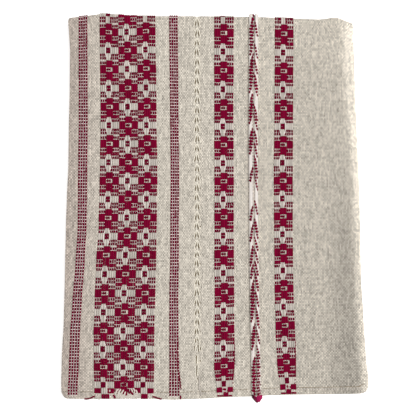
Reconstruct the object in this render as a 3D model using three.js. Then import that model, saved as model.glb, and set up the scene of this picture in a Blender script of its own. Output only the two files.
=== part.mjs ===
import * as THREE from "three";

// A cream hand-woven cotton rebozo with magenta brocade stripes, folded flat.
// It is folded lengthwise, so that both selvedges meet in a slit under the face, and then
// back and forth crosswise into six doubled runs. The open hem of the top run is at -Y and
// the first cross fold at +Y. +Z is up, lengths are millimetres and the cloth rests on z = 0.

// Driving dimensions
const SHEET = 1.3; // one thickness of cloth
const INNER_GAP = 0.5; // air between the face and the turned-under returns of one run
const RUN_GAP = 0.7; // air between two runs of the pile
const SELVEDGE_SLIT = 3; // what the selvedges leave open between them
const RUN_COUNT = 6;
const HEM_Y = -190; // raw place of the top run's hem
const HEM_DEPTH = 7;
const HEM_MIDDLE = 3;
const HEM_STEP = 1;
const HEM_RISE = 0.6; // the turned hem stands this much above the face
const LAST_END_Y = -186; // hidden hem of the bottom run

const SEAM_CLEARANCE = 0.3;
const SEAM_RISE = 2.8;
const SEAM_SWELL = 1; // the seams inside the pile lift the top run by this much
const SEAM_SWELL_REACH = 16;
const SEAM_VALLEY_SWAY = 0.5;
const SEAM_VALLEY_WAVE = 150; // length of one sway of the valley
const EDGE_DROOP = 1.8; // the pile is thinner along its two long edges
const EDGE_DROOP_REACH = 8;

const TURN_STEPS = 6;
const TOP_RUN_STEPS = 12;
const HIDDEN_RUN_STEPS = 6;
const EDGE_ARC_STEPS = 4;
const EDGE_COLUMNS = [5, 12, 28]; // columns of points this far in from each long edge
const SEAM_COLUMNS = [-10, 0, 10]; // and this far to either side of the raised seam
const RIPPLE_LENGTH = 210; // of the hidden cross folds, which aren't quite straight

const CREAM = 0xd2cbbe;
const MAGENTA = 0x860039;

// Where the long edges and the raised seam run, from the hem to the top fold
const LENGTHWISE = [
  { y: -191, left: -143.5, right: 146.5, seam: 41.8 },
  { y: -188, left: -149.8, right: 152, seam: 41.6 },
  { y: -184, left: -153.2, right: 153.8, seam: 41.4 },
  { y: -176, left: -154.2, right: 154.1, seam: 41.2 },
  { y: -152, left: -153.7, right: 151.6, seam: 40.9 },
  { y: -112, left: -151.6, right: 149.3, seam: 40.1 },
  { y: -70, left: -150.6, right: 146.7, seam: 39.4 },
  { y: -17, left: -149.5, right: 145.8, seam: 38.9 },
  { y: 8, left: -148.6, right: 145.1, seam: 38.7 },
  { y: 43, left: -147, right: 144, seam: 38.4 },
  { y: 78, left: -146.6, right: 142.4, seam: 38.3 },
  { y: 118, left: -145.7, right: 140.6, seam: 38.5 },
  { y: 160, left: -145.4, right: 139.8, seam: 38.7 },
  { y: 193, left: -147.4, right: 138.6, seam: 38.8 },
];

// How far the top fold and the hem lie past or short of a straight line
const TOP_FOLD_WAVE = [
  { x: -147, shift: -1.5 },
  { x: -134, shift: -0.3 },
  { x: -112, shift: 2.4 },
  { x: -100, shift: 1.2 },
  { x: -75, shift: 0 },
  { x: -15, shift: 0 },
  { x: 17, shift: -0.6 },
  { x: 48, shift: -1.1 },
  { x: 70, shift: -2 },
  { x: 105, shift: -3.3 },
  { x: 121, shift: -1.3 },
  { x: 139, shift: -7 },
];
const HEM_WAVE = [
  { x: -137, shift: -1 },
  { x: -101, shift: -1 },
  { x: -83, shift: -0.3 },
  { x: -40, shift: -1.8 },
  { x: -20, shift: -1 },
  { x: 17, shift: 1 },
  { x: 38, shift: 1.8 },
  { x: 55, shift: 2.8 },
  { x: 100, shift: 3.7 },
  { x: 143, shift: 4 },
];
const WAVE_START = 120; // the waves fade out this far from the middle
const WAVE_FULL = 184;

// Soft hollows and swells of the top face
const SOFT_FORMS = [
  { x: 128, y: -122, across: 9, along: 62, rise: -1.3 },
  { x: 104, y: -118, across: 12, along: 66, rise: 0.9 },
  { x: 84, y: 40, across: 14, along: 80, rise: -0.5 },
  { x: -28, y: -162, across: 12, along: 34, rise: -0.7 },
  { x: 14, y: -60, across: 14, along: 90, rise: -0.6 },
  { x: -60, y: 60, across: 40, along: 70, rise: 0.5 },
  { x: -128, y: -90, across: 12, along: 60, rise: 0.6 },
];

// The cross folds in order from the top run down: which end each is at, the middle of its
// turn, and the height and start in radians of its ripple
const CROSS_FOLDS = [
  { end: 1, y: 189.05, ripple: 0, start: 0 },
  { end: -1, y: -183.6, ripple: 1.2, start: 0.6 },
  { end: 1, y: 187.4, ripple: 0.9, start: 2.4 },
  { end: -1, y: -182.2, ripple: 1.6, start: 4.1 },
  { end: 1, y: 186, ripple: 1.4, start: 5.3 },
];
const RUN_INSETS = [
  { left: 0, right: 0 },
  { left: 1.6, right: 0.8 },
  { left: 0.7, right: 2.1 },
  { left: 2.4, right: 1 },
  { left: 1.1, right: 2.6 },
  { left: 2, right: 1.5 },
];

// The seam's section, once round from its base: two rolled edges with a valley between them
const SEAM_SECTION = [
  { across: 3.8, rise: 0 },
  { across: 0, rise: 0 },
  { across: -3.9, rise: 0 },
  { across: -4.7, rise: 0.34 },
  { across: -4.3, rise: 0.74 },
  { across: -2.9, rise: 1 },
  { across: -1.3, rise: 0.95 },
  { across: 0.1, rise: 0.7, valley: true },
  { across: 1.4, rise: 0.94 },
  { across: 2.9, rise: 0.97 },
  { across: 4.1, rise: 0.72 },
  { across: 4.4, rise: 0.34 },
];

// The seam's tufted end beyond the hem
const SEAM_TIP = [
  { y: -196.9, aside: 0.3, width: 0.16, rise: 0.3, droop: 1.5 },
  { y: -195, aside: 0.5, width: 0.66, rise: 0.62, droop: 1.1 },
  { y: -193, aside: 0.4, width: 1.06, rise: 0.86, droop: 0.5 },
  { y: -191, aside: 0.1, width: 1.16, rise: 0.98, droop: 0 },
];

// How much of the seam is left where it goes in between two runs
const SEAM_THIN = { rise: 0.05, width: 0.8 };

// Sizes worked out from the driving dimensions
const FACE_MIDDLE = (SHEET + INNER_GAP) / 2; // from a run's middle to the middle of either sheet
const FACE_OUTSIDE = FACE_MIDDLE + SHEET / 2;
const FACE_INSIDE = FACE_MIDDLE - SHEET / 2;
const RUN_PITCH = 2 * FACE_OUTSIDE + RUN_GAP;
const TURN_RADIUS = RUN_PITCH / 2;
const PILE_HEIGHT = (RUN_COUNT - 1) * RUN_PITCH + 2 * FACE_OUTSIDE;
const MIDDLE_OF_TOP_RUN = PILE_HEIGHT - FACE_OUTSIDE;

function smooth(share) {
  const held = THREE.MathUtils.clamp(share, 0, 1);
  return held * held * (3 - 2 * held);
}

// A value between two rows of a table, eased so that the line has no corners at its rows
function fromTable(rows, key, at, column) {
  if (at <= rows[0][key]) return rows[0][column];
  const next = rows.findIndex((row) => row[key] >= at);
  if (next < 0) return rows[rows.length - 1][column];
  const before = rows[next - 1];
  const after = rows[next];
  const share = (at - before[key]) / (after[key] - before[key]);
  return THREE.MathUtils.lerp(before[column], after[column], 0.5 * share + 0.5 * smooth(share));
}

const leftEdge = (y) => fromTable(LENGTHWISE, "y", y, "left");
const rightEdge = (y) => fromTable(LENGTHWISE, "y", y, "right");
const seamLine = (y) => fromTable(LENGTHWISE, "y", y, "seam");

function bell(distance, reach) {
  return Math.exp(-((distance / reach) ** 2));
}

// How much the top of the pile stands above or below its even height
function swell(x, y) {
  const edges = bell(x - leftEdge(y), EDGE_DROOP_REACH) + bell(rightEdge(y) - x, EDGE_DROOP_REACH);
  const seam = SEAM_SWELL * bell(x - seamLine(y), SEAM_SWELL_REACH);
  const forms = SOFT_FORMS.map((form) => form.rise * bell(x - form.x, form.across) * bell(y - form.y, form.along));
  return forms.reduce((total, rise) => total + rise, seam - EDGE_DROOP * edges);
}

// The even pile turned into the soft one: its ends wave, its hidden folds ripple and its
// height swells, but its base stays flat
function settle(x, y, z, fold) {
  const wave = fromTable(y > 0 ? TOP_FOLD_WAVE : HEM_WAVE, "x", x, "shift");
  const ripple = fold ? fold.ripple * Math.sin((2 * Math.PI * x) / RIPPLE_LENGTH + fold.start) : 0;
  const nearEnd = smooth((Math.abs(y) - WAVE_START) / (WAVE_FULL - WAVE_START));
  return new THREE.Vector3(x, y + (wave + ripple) * nearEnd, z * (1 + swell(x, y) / PILE_HEIGHT));
}

// A station is one place along the folded cloth: the middle of the run there, the outward
// direction of its patterned face, the insets of its long edges and the cross fold it is nearest
function station(y, z, faceY, faceZ, run, fold) {
  const low = RUN_INSETS[Math.floor(run)];
  const high = RUN_INSETS[Math.min(Math.floor(run) + 1, RUN_COUNT - 1)];
  const share = run - Math.floor(run);
  return {
    y,
    z,
    faceY,
    faceZ,
    fold,
    leftInset: THREE.MathUtils.lerp(low.left, high.left, share),
    rightInset: THREE.MathUtils.lerp(low.right, high.right, share),
    hem: 0,
  };
}

function runStation(run, y) {
  const faceZ = run % 2 === 0 ? 1 : -1;
  const fold = [CROSS_FOLDS[run - 1], CROSS_FOLDS[run]].find((row) => row && row.end * y > 0);
  return station(y, MIDDLE_OF_TOP_RUN - run * RUN_PITCH, 0, faceZ, run, fold);
}

function runStations(run, fromY, toY, steps) {
  const stations = [];
  for (let step = 0; step <= steps; step++) {
    stations.push(runStation(run, THREE.MathUtils.lerp(fromY, toY, step / steps)));
  }
  return stations;
}

// The stations of a cross fold between its two runs, turning over the fold's outer side
function turnStations(fold, run) {
  const middle = MIDDLE_OF_TOP_RUN - (run + 0.5) * RUN_PITCH;
  const faceSide = run % 2 === 0 ? 1 : -1; // the face is outside at +Y and inside at -Y
  const stations = [];
  for (let step = 1; step < TURN_STEPS; step++) {
    const angle = (Math.PI * step) / TURN_STEPS;
    const outY = fold.end * Math.sin(angle);
    const outZ = Math.cos(angle);
    const y = fold.y + TURN_RADIUS * outY;
    const z = middle + TURN_RADIUS * outZ;
    stations.push(station(y, z, faceSide * outY, faceSide * outZ, run + step / TURN_STEPS, fold));
  }
  return stations;
}

// The top run, with two close stations where the turned hem steps down to the face
function topRunStations() {
  const hemEdge = HEM_Y + HEM_DEPTH;
  const hem = [HEM_Y, HEM_Y + HEM_MIDDLE, hemEdge - HEM_STEP].map((y) => ({ ...runStation(0, y), hem: HEM_RISE }));
  return [...hem, ...runStations(0, hemEdge, CROSS_FOLDS[0].y, TOP_RUN_STEPS)];
}

function clothStations() {
  const stations = [...topRunStations(), ...turnStations(CROSS_FOLDS[0], 0)];
  for (let run = 1; run < RUN_COUNT; run++) {
    const last = run === RUN_COUNT - 1;
    const toY = last ? LAST_END_Y : CROSS_FOLDS[run].y;
    stations.push(...runStations(run, CROSS_FOLDS[run - 1].y, toY, HIDDEN_RUN_STEPS));
    if (!last) stations.push(...turnStations(CROSS_FOLDS[run], run));
  }
  return stations;
}

// The doubled cloth's section at a station, as points across it and out from the run's middle:
// once round its outside, from one selvedge to the other, and back round its inside
function clothSection(place) {
  const left = leftEdge(place.y) + place.leftInset + FACE_OUTSIDE;
  const right = rightEdge(place.y) - place.rightInset - FACE_OUTSIDE;
  const slit = (left + right) / 2;
  const inFromLeft = EDGE_COLUMNS.map((distance) => left + distance);
  const inFromRight = EDGE_COLUMNS.map((distance) => right - distance);
  const besideSeam = SEAM_COLUMNS.map((offset) => seamLine(place.y) + offset);
  const betweenSeamAndEdge = (besideSeam.at(-1) + inFromRight.at(-1)) / 2;
  const leftColumns = [...inFromLeft, (inFromLeft.at(-1) + slit) / 2];
  const rightColumns = [...besideSeam, betweenSeamAndEdge, ...inFromRight.toReversed()];
  const leftReturn = [slit - SELVEDGE_SLIT / 2, ...leftColumns.toReversed()];
  const rightReturn = [...rightColumns.toReversed(), slit + SELVEDGE_SLIT / 2];
  const face = [...leftColumns, slit, ...rightColumns];

  function wrap(radius, rise) {
    const arc = Array.from({ length: EDGE_ARC_STEPS + 1 }, (_, step) => (Math.PI * step) / EDGE_ARC_STEPS);
    return [
      ...leftReturn.map((across) => ({ across, out: -radius })),
      ...arc.map((angle) => ({ across: left - radius * Math.sin(angle), out: -radius * Math.cos(angle) })),
      ...face.map((across) => ({ across, out: radius + rise })),
      ...arc.map((angle) => ({ across: right + radius * Math.sin(angle), out: radius * Math.cos(angle) })),
      ...rightReturn.map((across) => ({ across, out: -radius })),
    ];
  }

  return [...wrap(FACE_OUTSIDE, place.hem), ...wrap(FACE_INSIDE, 0).reverse()];
}

// The cloth's end, closed by a strip of quads between the outside and the inside of its section
function clothCap(section) {
  const last = section.length - 1;
  const faces = [];
  for (let i = 0; i + 1 < section.length / 2; i++) {
    faces.push([i, i + 1, last - i - 1], [i, last - i - 1, last - i]);
  }
  return faces;
}

// The seam's section: how wide and high it is at a station is given by the station's own shares
function seamSection(place) {
  const sway = SEAM_VALLEY_SWAY * Math.sin((2 * Math.PI * place.y) / SEAM_VALLEY_WAVE);
  const base = FACE_OUTSIDE + SEAM_CLEARANCE + place.hem - place.droop;
  return SEAM_SECTION.map((point) => ({
    across: seamLine(place.y) + place.aside + (point.across + (point.valley ? sway : 0)) * place.width,
    out: base + SEAM_RISE * place.rise * point.rise,
  }));
}

function seamPlace(place, shares) {
  return { ...place, aside: 0, width: 1, rise: 1, droop: 0, ...shares };
}

// The seam along the top run, from its tufted end past the hem to where it goes under the first fold
function topSeamStations() {
  const tip = SEAM_TIP.map((shares) => seamPlace({ ...runStation(0, shares.y), hem: HEM_RISE }, shares));
  const along = topRunStations().map((place) => seamPlace(place, {}));
  return [...tip, ...along, ...foldSeamStations(0, false)];
}

// The seam over a cross fold, thinning where it goes in between the runs
function foldSeamStations(run, thinAtStart) {
  const turn = turnStations(CROSS_FOLDS[run], run);
  return turn.map((place, index) => {
    const thin = index === turn.length - 1 || (thinAtStart && index === 0);
    return seamPlace(place, thin ? SEAM_THIN : {});
  });
}

function place3d(place, point) {
  const y = place.y + place.faceY * point.out;
  const z = place.z + place.faceZ * point.out;
  return settle(point.across, y, z, place.fold);
}

// A closed body from one ring of points for each station, with a flat cap at both ends
function bodyFromRings(rings, startCap, endCap) {
  const ringSize = rings[0].length;
  const positions = rings.flat().flatMap((point) => [point.x, point.y, point.z]);
  const triangles = [];
  for (let ring = 0; ring + 1 < rings.length; ring++) {
    for (let i = 0; i < ringSize; i++) {
      const j = (i + 1) % ringSize;
      const [a, b] = [ring * ringSize + i, ring * ringSize + j];
      const [c, d] = [a + ringSize, b + ringSize];
      triangles.push(a, b, d, a, d, c);
    }
  }
  const lastRing = (rings.length - 1) * ringSize;
  for (const [a, b, c] of startCap) triangles.push(c, b, a);
  for (const [a, b, c] of endCap) triangles.push(lastRing + a, lastRing + b, lastRing + c);
  const geometry = new THREE.BufferGeometry();
  geometry.setAttribute("position", new THREE.Float32BufferAttribute(positions, 3));
  geometry.setIndex(triangles);
  geometry.computeVertexNormals();
  return geometry;
}

// The seam's end, closed by the triangles of its outline, each turning the way the outline does
function seamCap(section) {
  const outline = section.map((point) => new THREE.Vector2(point.across, point.out));
  const turn = Math.sign(THREE.ShapeUtils.area(outline));
  return THREE.ShapeUtils.triangulateShape(outline, []).map((face) => {
    const same = Math.sign(THREE.ShapeUtils.area(face.map((corner) => outline[corner]))) === turn;
    return same ? face : [...face].reverse();
  });
}

function swept(stations, sectionOf, capOf) {
  const sections = stations.map(sectionOf);
  const rings = stations.map((place, index) => sections[index].map((point) => place3d(place, point)));
  return bodyFromRings(rings, capOf(sections[0]), capOf(sections.at(-1)));
}

function seamAlong(stations) {
  return swept(stations, seamSection, seamCap);
}

function mesh(name, geometry, color) {
  const material = new THREE.MeshStandardMaterial({ color, roughness: 0.92, metalness: 0 });
  const made = new THREE.Mesh(geometry, material);
  made.name = name;
  return made;
}

const pieces = [
  mesh("rebozo_cloth", swept(clothStations(), clothSection, clothCap), CREAM),
  mesh("raised_seam", seamAlong(topSeamStations()), MAGENTA),
  mesh("raised_seam_second_fold", seamAlong(foldSeamStations(2, true)), MAGENTA),
  mesh("raised_seam_third_fold", seamAlong(foldSeamStations(4, true)), MAGENTA),
];

const rebozo = new THREE.Group();
rebozo.add(...pieces);

// The origin is the middle of the folded rebozo's base
const middle = new THREE.Box3().setFromObject(rebozo, true).getCenter(new THREE.Vector3());
rebozo.position.set(-middle.x, -middle.y, 0);

export default rebozo;
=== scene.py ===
"""A cream hand-woven cotton rebozo with magenta brocade stripes, folded flat.

The cloth is one doubled sheet, folded back and forth crosswise. The yarns that make its
pattern, the openwork column, the raised seam and the hem's stitches lie on it as real yarns.
The openwork's slots, the hem's stitch holes, the fine line above them and the overcast's
shadows are dark yarns of painted shadow.
Lengths in the tables are millimetres, and the finished meshes are in metres.
"""

import math

import bpy
import numpy as np
from bpy.props import FloatProperty, FloatVectorProperty, PointerProperty
from bpy.types import Operator, Panel, PropertyGroup
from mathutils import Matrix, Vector

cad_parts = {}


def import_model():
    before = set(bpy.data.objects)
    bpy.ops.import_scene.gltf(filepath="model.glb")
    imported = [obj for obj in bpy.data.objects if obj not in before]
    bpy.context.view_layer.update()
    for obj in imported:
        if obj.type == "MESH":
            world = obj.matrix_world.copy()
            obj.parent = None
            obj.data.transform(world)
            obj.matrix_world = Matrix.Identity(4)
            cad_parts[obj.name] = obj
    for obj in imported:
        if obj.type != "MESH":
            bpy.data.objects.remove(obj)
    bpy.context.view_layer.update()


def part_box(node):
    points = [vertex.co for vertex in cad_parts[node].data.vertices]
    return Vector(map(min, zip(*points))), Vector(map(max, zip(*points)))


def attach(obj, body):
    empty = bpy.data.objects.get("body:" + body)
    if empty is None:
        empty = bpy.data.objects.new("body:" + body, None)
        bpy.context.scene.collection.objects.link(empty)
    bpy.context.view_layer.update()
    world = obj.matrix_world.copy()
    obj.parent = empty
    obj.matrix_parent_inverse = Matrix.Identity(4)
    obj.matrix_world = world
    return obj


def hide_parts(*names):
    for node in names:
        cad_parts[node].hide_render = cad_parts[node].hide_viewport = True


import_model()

bl_info = {
    "name": "Folded rebozo",
    "version": (1, 0, 0),
    "blender": (4, 5, 0),
    "location": "3D View > Sidebar > Rebozo",
    "description": "Builds a folded hand-woven rebozo and a plain stage for it",
    "category": "Object",
}

MM = 0.001
BODY = "root"
CLOTH_NODE = "rebozo_cloth"
SEAM_NODES = ("raised_seam", "raised_seam_second_fold", "raised_seam_third_fold")

# The folded cloth, as in the part's source
SHEET = 1.3
INNER_GAP = 0.5
RUN_GAP = 0.7
SELVEDGE_SLIT = 3
RUN_COUNT = 6
HEM_Y = -190
HEM_DEPTH = 7
HEM_RISE = 0.6
HEM_STEP = 1.2  # length over which the turned hem steps down to the face
HEM_EDGE = 1.4  # length of the rounding at the hem's very end, and how far it falls there
HEM_EDGE_FALL = 0.55
LAST_END_Y = -186
SEAM_RISE = 2.8
SEAM_SWELL = 1
SEAM_SWELL_REACH = 16
EDGE_DROOP = 1.8
EDGE_DROOP_REACH = 8
RIPPLE_LENGTH = 210
WAVE_START = 120
WAVE_FULL = 184

FACE_MIDDLE = (SHEET + INNER_GAP) / 2
FACE_OUTSIDE = FACE_MIDDLE + SHEET / 2
RUN_PITCH = 2 * FACE_OUTSIDE + RUN_GAP
TURN_RADIUS = RUN_PITCH / 2
PILE_HEIGHT = (RUN_COUNT - 1) * RUN_PITCH + 2 * FACE_OUTSIDE
MIDDLE_OF_TOP_RUN = PILE_HEIGHT - FACE_OUTSIDE


def table(columns, *rows):
    """The rows as dictionaries, with one value for each column."""
    return [dict(zip(columns.split(), row)) for row in rows]


# Where the long edges and the raised seam run, from the hem to the top fold
LENGTHWISE = table(
    "y left right seam",
    (-191, -147.3, 146.5, 41.8),
    (-188, -152, 152, 41.6),
    (-184, -153.9, 153.8, 41.4),
    (-176, -154.2, 154.1, 41.2),
    (-152, -153.7, 151.6, 40.9),
    (-112, -151.6, 149.3, 40.1),
    (-70, -150.6, 146.7, 39.4),
    (-17, -149.5, 145.8, 38.9),
    (8, -148.6, 145.1, 38.7),
    (43, -147, 144, 38.4),
    (78, -146.6, 142.4, 38.3),
    (118, -145.7, 140.6, 38.5),
    (160, -145.4, 139.8, 38.7),
    (193, -147.4, 138.6, 38.8),
)

# How far the top fold and the hem lie past or short of a straight line
TOP_FOLD_WAVE = table(
    "x shift",
    (-147, -1.5),
    (-134, -0.3),
    (-112, 2.4),
    (-100, 1.2),
    (-75, 0),
    (-15, 0),
    (17, -0.6),
    (48, -1.1),
    (70, -2),
    (105, -3.3),
    (121, -1.3),
    (139, -7),
)
HEM_WAVE = table(
    "x shift",
    (-137, -1),
    (-101, -1),
    (-83, -0.3),
    (-40, -1.8),
    (-20, -1),
    (17, 1),
    (38, 1.8),
    (55, 2.8),
    (100, 3.7),
    (143, 4),
)

# Soft hollows and swells of the top face
SOFT_FORMS = table(
    "x y across along rise",
    (128, -122, 9, 62, -1.3),
    (104, -118, 12, 66, 0.9),
    (84, 40, 14, 80, -0.5),
    (-28, -162, 12, 34, -0.7),
    (14, -60, 14, 90, -0.6),
    (-60, 60, 40, 70, 0.5),
    (-128, -90, 12, 60, 0.6),
)

# The cross folds from the top run down
CROSS_FOLDS = table(
    "end y ripple start",
    (1, 189.05, 0, 0),
    (-1, -183.6, 1.2, 0.6),
    (1, 187.4, 0.9, 2.4),
    (-1, -182.2, 1.6, 4.1),
    (1, 186, 1.4, 5.3),
)
RUN_INSETS = table(
    "left right",
    (0, 0),
    (1.6, 0.8),
    (0.7, 2.1),
    (2.4, 1),
    (1.1, 2.6),
    (2, 1.5),
)

# Where the edges of the woven stripes lie at heights of the face, left edge and right edge
STRIPE_LINES = table(
    "y check_1 brocade_1 check_2 brocade_2 brocade_3",
    (-181, (-147.4, -137.2), (-120.4, -61.0), (-46.1, -35.0), (1.9, 17.9), (65.4, 81.1)),
    (-163, (-146.5, -136.1), (-121.1, -60.7), (-45.9, -35.4), (-0.5, 19.3), (62.6, 81.1)),
    (-127, (-145.2, -134.8), (-121.2, -60.6), (-45.8, -36.2), (-0.6, 19.6), (60.7, 80.3)),
    (-91, (-142.5, -132.6), (-120.2, -59.6), (-45.8, -36.5), (-0.2, 19.4), (59.9, 78.8)),
    (-55, (-139.5, -130.1), (-118.8, -58.7), (-45.0, -35.9), (-0.6, 19.2), (59.4, 78.1)),
    (-19, (-137.2, -128.1), (-116.3, -58.1), (-44.8, -35.9), (-0.4, 18.8), (59.1, 77.8)),
    (35, (-137.0, -127.4), (-115.1, -57.5), (-44.4, -35.6), (-0.6, 18.9), (58.7, 78.0)),
    (89, (-136.3, -126.9), (-114.3, -58.2), (-44.9, -36.3), (-0.6, 18.4), (59.4, 78.2)),
    (190, (-136.4, -127.4), (-115.4, -59.6), (-45.9, -37.1), (-0.8, 18.9), (60.0, 78.6)),
)
STRIPES = {"check_1": 4, "brocade_1": 27, "check_2": 4, "brocade_2": 9, "brocade_3": 9}  # ends in each
WOVEN_STRIPES = STRIPE_LINES[-1]  # the stripes' even places, which name each warp end's place
CLOTH_LEFT = -143.9  # even places of the middles of the two long folds
CLOTH_RIGHT = 138.2
OPENWORK = -18  # even place of the openwork column
SEAM_PLACE = 39  # even place of the raised seam

# Where the flowers of the brocade begin on the face, by rows of the weave, under four warp places
ROWS_PER_FLOWER = 24
ROW_DEPTH = 1.545
WEFT_SITES = {"outer": -106, "inner": -69, "middle": 9, "right": 69}
WEFT_ROWS = table(
    "row outer inner middle right",
    (0, 184.1, 185.3, 183.6, 183.2),
    (24, 147.3, 148.2, 146.2, 145.2),
    (48, 109.6, 110, 108.4, 108),
    (72, 72.7, 72.7, 71.4, 71.6),
    (96, 35.6, 35.7, 34.9, 35.5),
    (120, -1.4, -0.9, -0.9, -0.2),
    (144, -38.4, -38.2, -37.5, -35.9),
    (168, -76.5, -76.4, -75.2, -72.1),
    (192, -114.6, -114.2, -113.1, -108.6),
    (216, -150.9, -151.2, -150, -145.8),
    (240, -186.2, -186.2, -185.4, -182.9),
)

# The weaver's chart of one flower, a letter for each row: M where the magenta end is on the face
CHART = {
    "side": ".M.MMMMM.M.MM.M.....M.M.",
    "centre": "MMMM.M.MMMMM....M.M.....",
    "shared": "MMMM...MMMMMM.M.....M.M.",
}
FLOWER_ENDS = ("side",) * 3 + ("centre",) * 2 + ("shared",) + ("side",) * 3
MIDDLE_FLOWER_SHIFT = 12  # the wide stripe's middle flowers stand half a flower lower
HEM_BLOCK = (236, 239)  # rows near the hem in which only the outer ends stay on the face
WIDE_EYES = 228  # row from which the last white flowers' dots are wide
WORN_ROW = 239  # from here to the hem the flowers are worn bare and partly sewn over
CHECK_END = 241  # row near the hem at which the check stripes end
MAGENTA_EYE = 5  # row of the flower in which two small dots stand in the magenta flower's eye
WHITE_FLOWER = (11.7, 23.6)  # rows of the flower between which two cream yarns part round its dots
CHECK_LETTERS = ".M"  # the chart of every check end

# Widths of a flower's lone dots beside those of the other floats
HEM_DOT = 1.6
MAGENTA_EYE_DOT = 0.85
WHITE_EYE_DOT = 1.28

# How far aside the floats round a magenta eye stand, and their width beside that of the others
EYE_CLOSERS = {"shared": (-0.6, 0.52), "centre": (0.8, 0.9)}

# The raised seam's section, once round from its base: two rolled edges with a deep valley between
SEAM_SECTION = table(
    "across rise valley",
    (3.8, 0, 0),
    (0, 0, 0),
    (-3.9, 0, 0),
    (-4.7, 0.34, 0),
    (-4.3, 0.74, 0),
    (-2.9, 1, 0),
    (-1.2, 0.88, 0.5),
    (0.1, 0.42, 1),
    (1.3, 0.86, 0.5),
    (2.9, 0.97, 0),
    (4.1, 0.72, 0),
    (4.4, 0.34, 0),
)
SEAM_SEAT = 0.15  # how deep the seam's base sits in the cloth
SEAM_CLEARANCE = 0.3
SEAM_VALLEY_SWAY = 0.5
SEAM_VALLEY_WAVE = 150
SEAM_FOLDS = (2, 4)  # the lower cross folds over which the seam shows
SHOWN_OF_FOLD = {0: 1, 2: 1.2, 4: 0.66}  # how far round a cross fold its yarns go before they are hidden

# How the seam narrows into the tuft at the hem
SEAM_TIP = table(
    "y aside width rise droop",
    (-190, 0.3, 0.7, 0.5, 0.6),
    (-187, 0.1, 0.95, 0.9, 0),
    (-183, 0, 1, 1, 0),
)
SEAM_END = 2.6  # length along the face at which the rolled edges end under the tuft

# The openwork's last, uneven slots, each from its top to its foot
OPENWORK_END = table(
    "from_x from_y to_x to_y radius",
    (-19.3, -131, -19.5, -133.8, 0.5),
    (-15.9, -132, -15.8, -134.2, 0.45),
    (-20.4, -138, -20.9, -142.4, 0.55),
    (-16.9, -137, -16.3, -143.8, 0.6),
    (-14.6, -139, -14.3, -142.2, 0.45),
    (-18.5, -147.5, -18.8, -156.4, 0.7),
    (-14.8, -152, -14.4, -153.8, 0.45),
    (-18.1, -157.6, -18.4, -168, 0.45),
    (-17.2, -170.2, -17.1, -171.6, 0.45),
)
OPENWORK_PITCH = 9.6
OPENWORK_FROM = 190
OPENWORK_TO = -128
OPENWORK_DEPTH = 0.42  # how far the face dips along the column
OPENWORK_REACH = 2.9

# Cream yarns sewn over the torn middle of the wide stripe's hem
OVERCAST = table(
    "x top foot lean radius",
    (-104.2, -180.6, -184.4, -1.2, 0.75),
    (-97.8, -180.8, -186.2, -2.6, 0.85),
    (-94.9, -181, -186.6, -2.8, 0.95),
    (-91.8, -181.2, -186.8, -2.8, 0.9),
    (-88.9, -182.4, -187.2, -2.2, 0.85),
    (-83.6, -180.4, -184.4, 1.4, 0.8),
    (-81.2, -179.8, -184.8, 1.8, 0.9),
    (-78.9, -181.4, -186, 1.6, 0.85),
)
TORN_EDGE = {"left": -99.5, "right": -76.5, "top": -184.4, "foot": -190.8}  # the cream mass below the yarns
TORN_STRANDS = 95

# Bits of magenta that are left between the worn yarns of the hem, as points on the face
TORN_MAGENTA = [
    [(-104.6, -180.6), (-103.4, -182.6), (-102.2, -184.2)],
    [(-101.4, -186.8), (-100.2, -188.6), (-99.4, -190.4)],
    [(-90.8, -183.4), (-88.2, -182.2), (-86.2, -183.2)],
    [(-86.2, -184.6), (-83.8, -184.2), (-81.6, -186.4)],
    [(8.2, -180.4), (9.2, -181.8)],
    [(10.4, -180.2), (10.2, -182.4)],
    [(12.2, -181.6), (13.2, -182.4)],
    [(72, -177.4), (73, -179.4)],
    [(75.4, -178), (75.8, -179.6)],
]

# Magenta blocks at the hem: the ends at a flower's middle stay on the face, a little wider than above
HEM_BARS = table(
    "left right top foot",
    (-113.4, -105.4, -185.9, -190.9),
    (-73.9, -67, -185.7, -190.9),
    (8.4, 13.6, -182.8, -188.6),
    (71.2, 76.4, -179.8, -186),
)
BLOCK_YARN_PITCH = 1.9
BLOCK_YARN_RADIUS = 1.02

# Magenta dashes beside those blocks, on the hem's very edge
HEM_DASHES = table(
    "left right top foot",
    (2.4, 8.4, -186.9, -188.5),
    (13.6, 17.4, -186.7, -188.3),
    (66.1, 71.2, -184.2, -186),
    (76.4, 81.6, -183.8, -185.6),
)

# Stretches of the hem between the stripes, where its stitches show
BARE_HEM = [(-150, -147.8), (-136.6, -120.8), (-60.6, -46.4), (-34.6, 1.4), (18.4, 34.5), (48, 64.8),
            (81.6, 147)]
STITCH_LINE = -183  # even height on the face at which the hem is sewn
STITCH_TOP = -183.2
STITCH_LENGTH = 2.7
STITCH_PITCH = 3.1
# The fine dark line is painted shade along the step where the turned hem meets the face
HEM_GROOVE_SHADE = -182.9  # height of the fine dark line above the stitches
GROOVE_BEND = {"from_x": 140, "over": 10.5, "rise": 4}  # how the line bends up at the right corner

# Loose ends of magenta and cream yarn at the hem, as points on the face from one end to the other
LOOSE_MAGENTA = [
    [(-130.4, -190.7), (-127.6, -190.8), (-124, -189.9), (-121.4, -188.5), (-119.8, -188.4)],
    [(-62.4, -188.4), (-60, -188.9), (-57.4, -189.9), (-54.9, -190.6), (-53.1, -191)],
    [(-34.6, -187.6), (-34.2, -189), (-34.6, -190.9)],
]
LOOSE_CREAM = [
    [(-119.8, -188.6), (-118.2, -188.8), (-116.6, -190.2), (-115.4, -191.6)],
    [(-15.8, -168), (-15.4, -174), (-15.7, -180), (-14.8, -183.6)],
    [(-14.6, -182), (-13.8, -185), (-13.6, -187.6)],
]

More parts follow.
